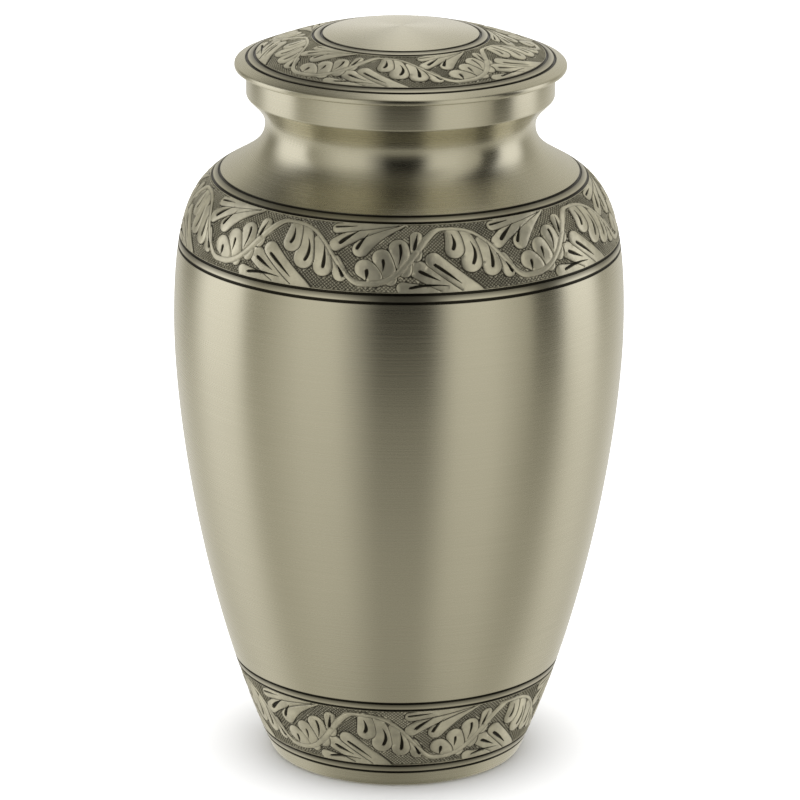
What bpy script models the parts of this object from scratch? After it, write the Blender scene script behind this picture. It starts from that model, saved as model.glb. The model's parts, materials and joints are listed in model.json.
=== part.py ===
"""A cremation urn of turned brass: one hollow body and one lid that lifts off.

Units are metres, +Z is up, and the origin is the middle of the underside. Angles run round the
Z axis from the front (-Y), towards +X. Both pieces are turned shapes, so each is drawn as an
outline of (radius, height) points. A run is a distance measured along such an outline.
"""
import bisect
import math

import bmesh
import bpy
from mathutils import Vector
from mathutils.geometry import delaunay_2d_cdt

# The body's outside: radii, and levels stacked from the underside up
FOOT_RADIUS = 0.0451
FOOT_EDGE = 0.0014
FOOT_SLOPE = math.radians(65.5)
BELLY_RADIUS = 0.07985
BELLY_LEVEL = 0.1603
UPRIGHT = math.radians(90.0)
SHOULDER_REACH = 0.0152
SHOULDER_RISE = 0.0553
SHOULDER_SLOPE = math.radians(151.0)
NECK_RADIUS = 0.0475
NECK_RISE = 0.0164
COLLAR_REACH = 0.0066
COLLAR_RISE = 0.0104
COLLAR_SLOPE = math.radians(47.0)
COLLAR_HEIGHT = 0.0094
WALL = 0.0020
FLOOR_THICKNESS = 0.0025

# How far each curve's handles reach, as a share of the curve's chord
CURVE_STEPS = 200
LOWER_BODY_HANDLES = (0.36, 0.21)
SHOULDER_HANDLES = (0.69, 0.21)
UNDER_NECK_HANDLES = (0.50, 0.32)
NECK_FLARE_HANDLES = (0.38, 0.34)

# The lid, which overhangs the collar and drops a locating ring into the mouth
LID_GAP = 0.0003
LID_OVERHANG = 0.0041
LID_RIM_THICKNESS = 0.0018
LID_RISE = 0.0129
LID_RIM_SLOPE = math.radians(158.0)
LID_TOP_SLOPE = math.radians(180.0)
LID_HANDLES = (0.24, 0.46)
LID_WALL = 0.0020
LOCATING_RING_DEPTH = 0.0085
LOCATING_RING_WALL = 0.0020
LOCATING_RING_CLEARANCE = 0.0005

# Levels and radii that follow
SHOULDER_RADIUS = NECK_RADIUS + SHOULDER_REACH
SHOULDER_LEVEL = BELLY_LEVEL + SHOULDER_RISE
NECK_LEVEL = SHOULDER_LEVEL + NECK_RISE
COLLAR_RADIUS = NECK_RADIUS + COLLAR_REACH
COLLAR_LEVEL = NECK_LEVEL + COLLAR_RISE
COLLAR_TOP = COLLAR_LEVEL + COLLAR_HEIGHT
MOUTH_RADIUS = NECK_RADIUS - WALL
LID_RIM_RADIUS = COLLAR_RADIUS + LID_OVERHANG
LID_RIM_LEVEL = COLLAR_TOP + LID_GAP
LID_TOP = LID_RIM_LEVEL + LID_RIM_THICKNESS + LID_RISE

# The turned grooves, in pairs, with a round fillet between the two
FILLET_WIDTH = 0.0030
GROOVE_WIDTH = 0.0010
GROOVE_DEPTH = 0.0005

# The bands of leaf scroll. A border is the run from an edge of the outline, or from its
# shoulder, to the middle of the nearest pair of grooves.
FOOT_BORDER = 0.0083
LOWER_BAND_WIDTH = 0.0250
LOWER_BAND_REPEATS = 6
LOWER_BAND_TURN = math.radians(-59.3)
SHOULDER_BORDER = 0.0026
UPPER_BAND_WIDTH = 0.0245
UPPER_BAND_REPEATS = 8
UPPER_BAND_TURN = math.radians(-21.2)
LID_BORDER = 0.0061
LID_BAND_WIDTH = 0.0204
LID_BAND_REPEATS = 5
LID_BAND_TURN = math.radians(-65.4)
GROUND_DEPTH = 0.0006
BAND_MARGIN = 0.0005

# Sides of the turned shapes, counted for each repeat of the ornament that they border
FOOT_SIDES = 6 * LOWER_BAND_REPEATS
BELLY_SIDES = 2 * math.lcm(LOWER_BAND_REPEATS, UPPER_BAND_REPEATS)
NECK_SIDES = 5 * UPPER_BAND_REPEATS
LID_SIDES = 7 * LID_BAND_REPEATS

# Faces along the outlines
BELLY_STATIONS = 5
SHOULDER_STATIONS = 4
FLARE_STATIONS = 2
INNER_SHOULDER_STATIONS = 4
INNER_BELLY_STATIONS = 5
LID_STATIONS = 2

# The ornament is drawn in band heights: x runs along the band and y from its lower edge, 0,
# to its upper edge, 1. One repeat is SCROLL_LENGTH long in the drawing.
SCROLL_LENGTH = 2.235
STEM_LOW = (0.535, 0.10)
STEM_HIGH = (1.72, 0.91)
STEM_LATE_RISE = 1.35
STEM_HALF_WIDTH = 0.030
STEM_BLADE_HALF_WIDTH = 0.055
STEM_BLADE_LATENESS = 3
STEM_POINTS = 24
SLOPE_STEP = 0.01
LOBE_SIDE_POINTS = 4
LOBE_END_POINTS = 7
LOBE_ROOT_HALF_WIDTH = 0.065
DRAWING_TOLERANCE = 0.048
LONGEST_STEP = 0.50
WEB_SPACING = 0.29
WEB_CLEARANCE = 0.09
SAME_PLACE = 1e-5
JOIN_DISTANCE = 1e-6
SHARP_ANGLE = math.radians(28)

# Each lobe of a leaf: root, middle of its round end, radius of that end, and sideways bend
HANGING_LOBES = [
    ((1.75, 0.90), (1.805, 0.620), 0.125, 0.05),
    ((1.89, 0.86), (2.005, 0.425), 0.140, 0.08),
    ((2.11, 0.68), (2.255, 0.300), 0.120, 0.08),
    ((2.36, 0.36), (2.560, 0.165), 0.080, 0.00),
]
STANDING_LOBES = [
    ((0.78, 0.10), (0.635, 0.320), 0.130, -0.12),
    ((0.95, 0.19), (0.850, 0.510), 0.112, -0.08),
    ((1.14, 0.36), (1.035, 0.640), 0.118, -0.06),
    ((1.37, 0.62), (1.285, 0.785), 0.085, -0.04),
]
TOP_LEAF_LOBES = [
    ((1.10, 1.06), (0.110, 0.945), 0.070, 0.00),
    ((1.10, 1.04), (0.205, 0.630), 0.100, -0.07),
    ((1.10, 1.02), (0.560, 0.600), 0.095, -0.12),
]
BOTTOM_LEAF_LOBES = [
    ((2.10, -0.04), (1.520, 0.480), 0.095, 0.02),
    ((1.95, -0.04), (1.275, 0.330), 0.110, 0.05),
    ((1.95, -0.04), (1.060, 0.105), 0.070, 0.03),
]


class Outline:
    """A turned outline through given points, which can be read at any run along it."""

    def __init__(self, points):
        self.points = points
        self.runs = [0.0]
        for before, after in zip(points, points[1:]):
            self.runs.append(self.runs[-1] + math.dist(before, after))
        self.length = self.runs[-1]

    def at(self, run, depth=0.0):
        """The (radius, height) at a run, sunk by a depth square to the outline."""
        index = min(max(bisect.bisect_right(self.runs, run), 1), len(self.runs) - 1)
        (r0, z0), (r1, z1) = self.points[index - 1], self.points[index]
        span = self.runs[index] - self.runs[index - 1]
        share = (run - self.runs[index - 1]) / span
        along_r, along_z = (r1 - r0) / span, (z1 - z0) / span
        return (r0 + share * (r1 - r0) - depth * along_z, z0 + share * (z1 - z0) + depth * along_r)

    def run_to(self, axis, target):
        """The run where the radius (axis 0) or the height (axis 1) first passes a target."""
        for index in range(1, len(self.points)):
            before, after = self.points[index - 1][axis], self.points[index][axis]
            if (before - target) * (after - target) <= 0 and before != after:
                share = (target - before) / (after - before)
                return self.runs[index - 1] + share * (self.runs[index] - self.runs[index - 1])
        return self.length


def curve(start, start_angle, end, end_angle, handles, steps):
    """Points of a Bezier curve that leaves and arrives at given angles, without its last point."""
    chord = math.dist(start, end)
    out = (start[0] + math.cos(start_angle) * handles[0] * chord,
           start[1] + math.sin(start_angle) * handles[0] * chord)
    back = (end[0] - math.cos(end_angle) * handles[1] * chord,
            end[1] - math.sin(end_angle) * handles[1] * chord)
    points = []
    for step in range(steps):
        t = step / steps
        weights = ((1 - t) ** 3, 3 * t * (1 - t) ** 2, 3 * t * t * (1 - t), t ** 3)
        controls = (start, out, back, end)
        points.append(tuple(sum(w * c[axis] for w, c in zip(weights, controls)) for axis in (0, 1)))
    return points


def body_curves():
    """The body's outside, from the underside's edge up to the collar's lower corner."""
    belly = (BELLY_RADIUS, BELLY_LEVEL)
    shoulder = (SHOULDER_RADIUS, SHOULDER_LEVEL)
    neck = (NECK_RADIUS, NECK_LEVEL)
    collar = (COLLAR_RADIUS, COLLAR_LEVEL)
    points = curve((FOOT_RADIUS, 0.0), FOOT_SLOPE, belly, UPRIGHT, LOWER_BODY_HANDLES, CURVE_STEPS)
    points += curve(belly, UPRIGHT, shoulder, SHOULDER_SLOPE, SHOULDER_HANDLES, CURVE_STEPS)
    points += curve(shoulder, SHOULDER_SLOPE, neck, UPRIGHT, UNDER_NECK_HANDLES, CURVE_STEPS)
    points += curve(neck, UPRIGHT, collar, COLLAR_SLOPE, NECK_FLARE_HANDLES, CURVE_STEPS)
    return points + [collar]


def lid_curve():
    """The lid's top face, from its rim inwards to the middle."""
    rim = (LID_RIM_RADIUS, LID_RIM_LEVEL + LID_RIM_THICKNESS)
    top = (0.0, LID_TOP)
    return curve(rim, LID_RIM_SLOPE, top, LID_TOP_SLOPE, LID_HANDLES, CURVE_STEPS) + [top]


def wave(x):
    """Height of the scroll's stem at a place along the band."""
    low, high = STEM_LOW, STEM_HIGH
    x = (x - low[0]) % SCROLL_LENGTH + low[0]
    if x < high[0]:
        share = ((x - low[0]) / (high[0] - low[0])) ** STEM_LATE_RISE
    else:
        share = (low[0] + SCROLL_LENGTH - x) / (low[0] + SCROLL_LENGTH - high[0])
    return low[1] + (high[1] - low[1]) * (1 - math.cos(math.pi * share)) / 2


def stem():
    """The wavy stem over one repeat, broader where it rises like a blade to its crest."""
    left, right = [], []
    for step in range(STEM_POINTS + 1):
        x = STEM_HIGH[0] + SCROLL_LENGTH * (step / STEM_POINTS - 1)
        slope = (wave(x + SLOPE_STEP) - wave(x - SLOPE_STEP)) / (2 * SLOPE_STEP)
        rise = min(max((x - STEM_LOW[0]) / (STEM_HIGH[0] - STEM_LOW[0]), 0.0), 1.0)
        blade = math.sin(math.pi * rise ** STEM_BLADE_LATENESS)
        half = STEM_HALF_WIDTH + (STEM_BLADE_HALF_WIDTH - STEM_HALF_WIDTH) * blade
        across = half / math.hypot(1.0, slope)
        left.append((x - slope * across, wave(x) + across))
        right.append((x + slope * across, wave(x) - across))
    return left[::-1] + right


def lobe(root, end, radius, bend):
    """A leaf's lobe: a bent drop, narrow at its root and round at its end."""
    along = Vector(end) - Vector(root)
    side = Vector((-along.y, along.x))
    middle = Vector(root) + along / 2 + side * bend
    left, right = [], []
    for step in range(LOBE_SIDE_POINTS):
        t = step / LOBE_SIDE_POINTS
        centre = (1 - t) ** 2 * Vector(root) + 2 * t * (1 - t) * middle + t * t * Vector(end)
        heading = (1 - t) * (middle - Vector(root)) + t * (Vector(end) - middle)
        normal = Vector((-heading.y, heading.x)).normalized()
        half = LOBE_ROOT_HALF_WIDTH + (radius - LOBE_ROOT_HALF_WIDTH) * math.sqrt(t)
        left.append(centre + normal * half)
        right.append(centre - normal * half)
    heading = (Vector(end) - middle).normalized()
    round_end = []
    for step in range(LOBE_END_POINTS):
        angle = math.pi * (0.5 - step / (LOBE_END_POINTS - 1))
        turned = Vector((heading.x * math.cos(angle) - heading.y * math.sin(angle),
                         heading.x * math.sin(angle) + heading.y * math.cos(angle)))
        round_end.append(Vector(end) + turned * radius)
    points = left + round_end + right[::-1]
    return [(p.x, p.y) for p in points][::-1]


def scroll_shapes():
    """Every raised shape of one repeat."""
    lobes = HANGING_LOBES + STANDING_LOBES + TOP_LEAF_LOBES + BOTTOM_LEAF_LOBES
    return [stem()] + [lobe(*sizes) for sizes in lobes]


def triangulate(points, edges, faces):
    """A constrained Delaunay mesh, with the input faces and edges that each result lies on."""
    vectors = [Vector(point) for point in points]
    result = delaunay_2d_cdt(vectors, edges, faces, 0, SAME_PLACE, True)
    corners, out_edges, triangles, _, from_edges, from_faces = result
    return corners, out_edges, triangles, from_edges, from_faces


def straightened(chain):
    """A chain of points with those left out that lie within the tolerance of the rest."""
    if len(chain) < 3:
        return chain
    start, end = Vector(chain[0]), Vector(chain[-1])
    gaps = [gap_to_line(Vector(point), start, end) for point in chain[1:-1]]
    if max(gaps) <= DRAWING_TOLERANCE:
        return [chain[0], chain[-1]]
    furthest = gaps.index(max(gaps)) + 1
    return straightened(chain[:furthest + 1])[:-1] + straightened(chain[furthest:])


def stepped(chain):
    """A chain with points added where a side is too long to lie close to the round surface."""
    points = [chain[0]]
    for start, end in zip(chain, chain[1:]):
        steps = math.ceil(abs(end[0] - start[0]) / LONGEST_STEP)
        for step in range(1, steps):
            share = step / steps
            points.append((start[0] + (end[0] - start[0]) * share, start[1] + (end[1] - start[1]) * share))
        points.append(end)
    return points


def on_seam(corner):
    """A corner as a plain pair, set exactly on the seam between repeats where it lies there."""
    x = corner[0]
    for seam in (0.0, SCROLL_LENGTH):
        if abs(x - seam) < SAME_PLACE:
            x = seam
    return (x, corner[1])


def repeated(shapes):
    """The shapes with the copies that reach in from the repeats on either side."""
    shifts = (-SCROLL_LENGTH, 0.0, SCROLL_LENGTH)
    return [[(x + shift, y) for x, y in shape] for shape in shapes for shift in shifts]


def contour_sides(shapes, margin):
    """Corners, and the sides between leaf and ground, of all the shapes laid over each other."""
    left, right = -SCROLL_LENGTH, 2 * SCROLL_LENGTH
    frame = [(0.0, -margin), (SCROLL_LENGTH, -margin), (SCROLL_LENGTH, 1 + margin), (0.0, 1 + margin)]
    borders = [[(left, low), (right, low), (right, high), (left, high)] for low, high in ((-1, 0), (1, 2))]
    points, faces = [], []
    for shape in [frame] + borders + repeated(shapes):
        faces.append(list(range(len(points), len(points) + len(shape))))
        points += shape
    corners, _, triangles, _, from_faces = triangulate(points, [], faces)
    raised_beside = {}
    for triangle, origins in zip(triangles, from_faces):
        if 0 in origins:
            for side in corner_pairs(triangle):
                raised_beside.setdefault(side, []).append(len(origins) > 1)
    sides = [side for side, raised in raised_beside.items() if len(set(raised)) == 2]
    return corners, sides


def contour_chains(shapes, margin):
    """The outline of all the shapes together as chains of points, cut at the seams."""
    corners, sides = contour_sides(shapes, margin)
    neighbours = {}
    for a, b in sides:
        neighbours.setdefault(a, []).append(b)
        neighbours.setdefault(b, []).append(a)
    ends = [corner for corner in neighbours if len(neighbours[corner]) != 2]
    chains, used = [], set()
    for start in ends + sorted(neighbours):
        for step in neighbours[start]:
            if (start, step) in used:
                continue
            chain, here = [start], step
            while True:
                used.update({(chain[-1], here), (here, chain[-1])})
                chain.append(here)
                if len(neighbours[here]) != 2 or here == start:
                    break
                here = next(corner for corner in neighbours[here] if corner != chain[-2])
            chains.append([on_seam(corners[corner]) for corner in chain])
    return chains


def is_raised(point, shapes):
    """Whether a point lies inside any shape, or in the border beside the band."""
    x, y = point
    if not 0.0 < y < 1.0:
        return True
    for shape in shapes:
        inside = False
        for (x0, y0), (x1, y1) in zip(shape, shape[1:] + shape[:1]):
            if (y0 > y) != (y1 > y) and x < x0 + (y - y0) * (x1 - x0) / (y1 - y0):
                inside = not inside
        if inside:
            return True
    return False


def gap_to_line(spot, a, b):
    """Distance from a spot to the straight line between two points."""
    along = b - a
    share = min(max((spot - a).dot(along) / along.length_squared, 0.0), 1.0)
    return (spot - a - share * along).length


def web_spots(points, edges):
    """Spots of an even web that stay clear of the drawn lines, so that wide faces stay round."""
    columns = round(SCROLL_LENGTH / WEB_SPACING)
    rows = round(1 / WEB_SPACING)
    lines = [(Vector(points[a]), Vector(points[b])) for a, b in edges]
    spots = []
    for column in range(columns):
        for row in range(1, rows):
            spot = Vector((SCROLL_LENGTH * (column + 0.5) / columns, row / rows))
            if all(gap_to_line(spot, a, b) > WEB_CLEARANCE for a, b in lines):
                spots.append(tuple(spot))
    return spots


def corner_pairs(triangle):
    """The three sides of a triangle, each as its two corners in rising order."""
    return [tuple(sorted(pair)) for pair in zip(triangle, triangle[1:] + triangle[:1])]


def raised_triangles(corners, triangles, by_side, contour, shapes):
    """Which triangles are leaf: each region inside the contour is taken as a whole."""
    region = [None] * len(triangles)
    raised_area = []
    for seed in range(len(triangles)):
        if region[seed] is not None:
            continue
        region[seed] = len(raised_area)
        raised_area.append(0.0)
        waiting = [seed]
        while waiting:
            here = waiting.pop()
            a, b, c = (corners[v] for v in triangles[here])
            area = abs((b - a).cross(c - a))
            raised_area[-1] += area if is_raised((a + b + c) / 3, shapes) else -area
            for side in corner_pairs(triangles[here]):
                for other in by_side[side]:
                    if side not in contour and region[other] is None:
                        region[other] = region[seed]
                        waiting.append(other)
    return [raised_area[number] > 0 for number in region]


def scroll_mesh(margin, sides_below, sides_above):
    """One repeat as flat triangles: corners, triangles, which are raised, and who shares a side."""
    shapes = scroll_shapes()
    points = [(SCROLL_LENGTH * i / sides_below, -margin) for i in range(sides_below + 1)]
    points += [(SCROLL_LENGTH * i / sides_above, 1 + margin) for i in range(sides_above, -1, -1)]
    edges = [(i, (i + 1) % len(points)) for i in range(len(points))]
    frame_edges = len(edges)
    for chain in contour_chains(shapes, margin):
        middle = len(chain) // 2
        kept = straightened(chain[:middle + 1])[:-1] + straightened(chain[middle:])
        kept = stepped(kept)
        first = len(points)
        points += kept
        edges += [(first + i, first + i + 1) for i in range(len(kept) - 1)]
    points += web_spots(points, edges)
    corners, out_edges, triangles, from_edges, _ = triangulate(points, edges, [])
    contour = {tuple(sorted(edge)) for edge, origins in zip(out_edges, from_edges)
               if any(origin >= frame_edges for origin in origins)}
    by_side = {}
    for index, triangle in enumerate(triangles):
        for side in corner_pairs(triangle):
            by_side.setdefault(side, []).append(index)
    raised = raised_triangles(corners, triangles, by_side, contour, repeated(shapes))
    return corners, triangles, raised, by_side


class Turning:
    """Faces of one turned piece, gathered as corner points and then joined into one body."""

    def __init__(self):
        self.faces = []

    def spot(self, radius, height, angle):
        """The point at a radius, height and angle."""
        return (radius * math.sin(angle), -radius * math.cos(angle), height)

    def wall(self, lower, upper, sides, turn, twist=0.0):
        """A ring of faces between two (radius, height) points."""
        for i in range(sides):
            a = turn + 2 * math.pi * i / sides
            b = turn + 2 * math.pi * (i + 1) / sides
            face = [self.spot(*lower, a), self.spot(*lower, b),
                    self.spot(*upper, b + twist), self.spot(*upper, a + twist)]
            if lower[0] == 0.0:
                face = face[1:]
            if upper[0] == 0.0:
                face = face[:3]
            self.faces.append(face)

    def walls(self, points, sides, turn, twist=0.0):
        """Rings of faces through a row of points, turned a little more at each by a twist."""
        step = twist / (len(points) - 1)
        for index, (lower, upper) in enumerate(zip(points, points[1:])):
            self.wall(lower, upper, sides, turn + index * step, step)

    def band(self, outline, start, width, repeats, turn, sides_below, sides_above):
        """A band of leaf scroll in sunk ground, from a run on the outline."""
        height = width - 2 * BAND_MARGIN
        margin = BAND_MARGIN / height
        corners, triangles, raised, by_side = scroll_mesh(margin, sides_below // repeats,
                                                          sides_above // repeats)

        def place(corner, repeat, depth):
            angle = turn + (repeat + corner[0] / SCROLL_LENGTH) * 2 * math.pi / repeats
            return self.spot(*outline.at(start + BAND_MARGIN + corner[1] * height, depth), angle)

        for repeat in range(repeats):
            for triangle, up in zip(triangles, raised):
                depth = 0.0 if up else GROUND_DEPTH
                self.faces.append([place(corners[v], repeat, depth) for v in triangle])
            for (a, b), owners in by_side.items():
                if len(owners) == 2 and raised[owners[0]] != raised[owners[1]]:
                    self.faces.append([place(corners[a], repeat, 0.0), place(corners[b], repeat, 0.0),
                                       place(corners[b], repeat, GROUND_DEPTH),
                                       place(corners[a], repeat, GROUND_DEPTH)])

    def finish(self, name, material):
        """Join the gathered faces into one named object with its material."""
        mesh = bpy.data.meshes.new(name)
        shape = bmesh.new()
        for face in self.faces:
            shape.faces.new([shape.verts.new(point) for point in face])
        bmesh.ops.remove_doubles(shape, verts=shape.verts, dist=JOIN_DISTANCE)
        bmesh.ops.recalc_face_normals(shape, faces=shape.faces)
        shape.to_mesh(mesh)
        shape.free()
        mesh.shade_smooth()
        mesh.set_sharp_from_angle(angle=SHARP_ANGLE)
        mesh.materials.append(material)
        piece = bpy.data.objects.new(name, mesh)
        bpy.context.scene.collection.objects.link(piece)
        return piece


def groove_pair(outline, middle):
    """Points across a pair of grooves, with the fillet's crest between them."""
    first, second = middle - FILLET_WIDTH / 2, middle + FILLET_WIDTH / 2
    half = GROOVE_WIDTH / 2
    return [outline.at(first - half), outline.at(first, GROOVE_DEPTH), outline.at(middle),
            outline.at(second, GROOVE_DEPTH), outline.at(second + half)]


def stations(outline, start, end, count, depth=0.0):
    """Evenly spaced points along an outline or a depth below it, both ends included."""
    return [outline.at(start + (end - start) * i / count, depth) for i in range(count + 1)]


def half_pair():
    """Run from the middle of a pair of grooves to its outer edge."""
    return FILLET_WIDTH / 2 + GROOVE_WIDTH / 2


def pair_spacing(width):
    """Run between the middles of the pairs of grooves on either side of a band."""
    return width + GROOVE_WIDTH + FILLET_WIDTH


def turned_band(turning, outline, middle, width, repeats, turn, sides_below, sides_above):
    """A pair of grooves, the scroll and another pair, and the run where that ends."""
    upper_middle = middle + pair_spacing(width)
    turning.walls(groove_pair(outline, middle), sides_below, turn)
    turning.band(outline, middle + half_pair(), width, repeats, turn, sides_below, sides_above)
    turning.walls(groove_pair(outline, upper_middle), sides_above, turn)
    return upper_middle + half_pair()


def urn_body(material):
    """The vessel: foot, two bands, shoulder, neck, collar, bore and hollow inside."""
    body = Turning()
    outside = Outline(body_curves())
    neck_run = outside.run_to(1, NECK_LEVEL)
    lower_middle = FOOT_BORDER
    upper_middle = outside.run_to(1, SHOULDER_LEVEL) - SHOULDER_BORDER - pair_spacing(UPPER_BAND_WIDTH)

    foot_run = outside.run_to(1, FOOT_EDGE)
    foot_top = outside.at(foot_run)
    underside = [(0.0, 0.0), (foot_top[0] - FOOT_EDGE, 0.0), foot_top]
    foot = underside + stations(outside, foot_run, lower_middle - half_pair(), 1)[1:]
    body.walls(foot, FOOT_SIDES, LOWER_BAND_TURN)
    belly_start = turned_band(body, outside, lower_middle, LOWER_BAND_WIDTH, LOWER_BAND_REPEATS,
                              LOWER_BAND_TURN, FOOT_SIDES, BELLY_SIDES)

    side = 2 * math.pi / BELLY_SIDES
    twist = (UPPER_BAND_TURN - LOWER_BAND_TURN + side / 2) % side - side / 2
    body.walls(stations(outside, belly_start, upper_middle - half_pair(), BELLY_STATIONS),
               BELLY_SIDES, LOWER_BAND_TURN, twist)
    shoulder_start = turned_band(body, outside, upper_middle, UPPER_BAND_WIDTH, UPPER_BAND_REPEATS,
                                 UPPER_BAND_TURN, BELLY_SIDES, NECK_SIDES)

    above = stations(outside, shoulder_start, neck_run, SHOULDER_STATIONS)
    above += stations(outside, neck_run, outside.length, FLARE_STATIONS)[1:]
    above += [(COLLAR_RADIUS, COLLAR_TOP), (MOUTH_RADIUS, COLLAR_TOP), (MOUTH_RADIUS, NECK_LEVEL)]
    floor_run = outside.run_to(1, FLOOR_THICKNESS)
    inside = stations(outside, neck_run, upper_middle, INNER_SHOULDER_STATIONS, WALL)[1:]
    inside += stations(outside, upper_middle, floor_run, INNER_BELLY_STATIONS, WALL)[1:]
    inside += [(inside[-1][0], FLOOR_THICKNESS), (0.0, FLOOR_THICKNESS)]
    body.walls(above + inside, NECK_SIDES, UPPER_BAND_TURN)
    return body.finish("urn_body", material)


def lid(material):
    """The lid: rim, scroll ring and plain dome, over a seat and a locating ring."""
    cover = Turning()
    top = Outline(lid_curve())
    ring_outer = MOUTH_RADIUS - LOCATING_RING_CLEARANCE
    ring_inner = ring_outer - LOCATING_RING_WALL
    ring_bottom = LID_RIM_LEVEL - LOCATING_RING_DEPTH
    hollow_run = top.run_to(0, ring_inner)

    hollow = stations(top, top.length, hollow_run, LID_STATIONS, LID_WALL)[1:-1]
    ring_top = (ring_inner, top.at(hollow_run, LID_WALL)[1])
    ring = [ring_top, (ring_inner, ring_bottom), (ring_outer, ring_bottom), (ring_outer, LID_RIM_LEVEL)]
    rim = [(LID_RIM_RADIUS, LID_RIM_LEVEL), top.at(0.0), top.at(LID_BORDER - half_pair())]
    cover.walls([(0.0, LID_TOP - LID_WALL)] + hollow + ring + rim, LID_SIDES, LID_BAND_TURN)
    dome_start = turned_band(cover, top, LID_BORDER, LID_BAND_WIDTH, LID_BAND_REPEATS,
                             LID_BAND_TURN, LID_SIDES, LID_SIDES)
    dome = stations(top, dome_start, top.length, LID_STATIONS)[:-1]
    cover.walls(dome + [(0.0, LID_TOP)], LID_SIDES, LID_BAND_TURN)
    return cover.finish("lid", material)


def brass(name, colour, roughness):
    """Plated brass with the pewter colour of the finish."""
    material = bpy.data.materials.new(name)
    material.use_nodes = True
    shader = material.node_tree.nodes["Principled BSDF"]
    shader.inputs["Base Color"].default_value = (*colour, 1.0)
    shader.inputs["Metallic"].default_value = 1.0
    shader.inputs["Roughness"].default_value = roughness
    return material


for left_over in list(bpy.data.objects):
    bpy.data.objects.remove(left_over)

urn_body(brass("pewter_body", (0.42, 0.41, 0.36), 0.34))
lid(brass("pewter_lid", (0.44, 0.43, 0.38), 0.32))
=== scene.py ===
# %% [markdown]
# # A cremation urn in brushed pewter-coloured brass
#
# The real urn is spun and turned from brass sheet, engraved, plated and brushed on the lathe. A
# band of leaf scroll runs round the shoulder, another round the foot and a third round the lid.
# The hollows of the carving are left dark and the leaves are rubbed bright.
#
# This lesson builds the looks of the urn round a fixed frame of plain solids. Each cell makes
# one thing, and the text before it says what that is on the real urn, how it could be made,
# and why it is made this way here.

# %% Load the frame
import json
import math

import bpy
import numpy as np
from mathutils import Matrix, Vector
from mathutils.geometry import delaunay_2d_cdt
from mathutils.kdtree import KDTree

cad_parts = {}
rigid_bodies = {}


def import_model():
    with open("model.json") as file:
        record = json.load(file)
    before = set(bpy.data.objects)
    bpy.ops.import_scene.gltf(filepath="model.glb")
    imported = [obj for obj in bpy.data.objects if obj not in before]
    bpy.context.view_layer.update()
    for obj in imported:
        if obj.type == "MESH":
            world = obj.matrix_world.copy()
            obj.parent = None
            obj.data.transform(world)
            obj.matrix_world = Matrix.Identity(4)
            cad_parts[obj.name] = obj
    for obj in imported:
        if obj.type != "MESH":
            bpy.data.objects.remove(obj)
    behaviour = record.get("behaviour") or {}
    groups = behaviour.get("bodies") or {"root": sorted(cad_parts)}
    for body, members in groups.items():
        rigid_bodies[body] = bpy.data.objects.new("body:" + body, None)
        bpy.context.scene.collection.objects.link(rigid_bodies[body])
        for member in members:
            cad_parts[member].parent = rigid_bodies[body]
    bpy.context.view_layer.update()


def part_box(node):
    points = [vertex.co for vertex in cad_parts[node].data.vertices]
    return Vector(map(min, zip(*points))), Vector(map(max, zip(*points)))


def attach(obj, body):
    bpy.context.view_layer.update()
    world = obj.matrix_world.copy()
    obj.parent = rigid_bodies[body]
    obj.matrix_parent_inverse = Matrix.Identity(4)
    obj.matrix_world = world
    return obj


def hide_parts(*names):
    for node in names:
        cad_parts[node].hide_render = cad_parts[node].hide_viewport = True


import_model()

# %% [markdown]
# ## The camera
#
# The photograph was taken from a little above the urn with a long lens, so the sides hardly
# narrow with distance. A camera could be aimed by eye, but five numbers worked out from the
# rims and grooves place it exactly: its distance, its tilt, its small roll and its two offsets.

# %% Camera
LENS = 225.0
SENSOR = 36.0
CAMERA_DISTANCE = 1.7815
CAMERA_PITCH = math.radians(17.45)
CAMERA_ROLL = math.radians(0.42)
AIM_LEVEL = 0.1390
AIM_RIGHT = 0.0006
AIM_UP = -0.0088


def aimed_camera():
    """The camera that sees the urn as the photograph does."""
    camera = bpy.data.objects.new("camera", bpy.data.cameras.new("camera"))
    camera.data.lens = LENS
    camera.data.sensor_width = SENSOR
    camera.data.clip_start = 0.1
    camera.data.clip_end = 20.0
    pitched = Matrix.Rotation(math.pi / 2 - CAMERA_PITCH, 4, "X")
    tilt = pitched @ Matrix.Rotation(CAMERA_ROLL, 4, "Z")
    offset = pitched.to_3x3() @ Vector((AIM_RIGHT, AIM_UP, CAMERA_DISTANCE))
    camera.matrix_world = Matrix.Translation(Vector((0.0, 0.0, AIM_LEVEL)) + offset) @ tilt
    bpy.context.scene.collection.objects.link(camera)
    bpy.context.scene.camera = camera
    return camera


camera = aimed_camera()
print("camera stands at", tuple(round(v, 3) for v in camera.matrix_world.translation))

# %% [markdown]
# ## The turned outline
#
# A spun vessel is one line turned round an axis. The line could be traced point by point, but
# four smooth curves describe it with far fewer numbers: foot to belly, belly to shoulder,
# shoulder to neck and neck to collar. Each curve leaves and arrives at a known angle, as a
# spinner would describe it. The overall sizes are read from the frame.

# %% Outline sizes
_, body_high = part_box("urn_body")
lid_low, lid_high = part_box("lid")

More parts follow.
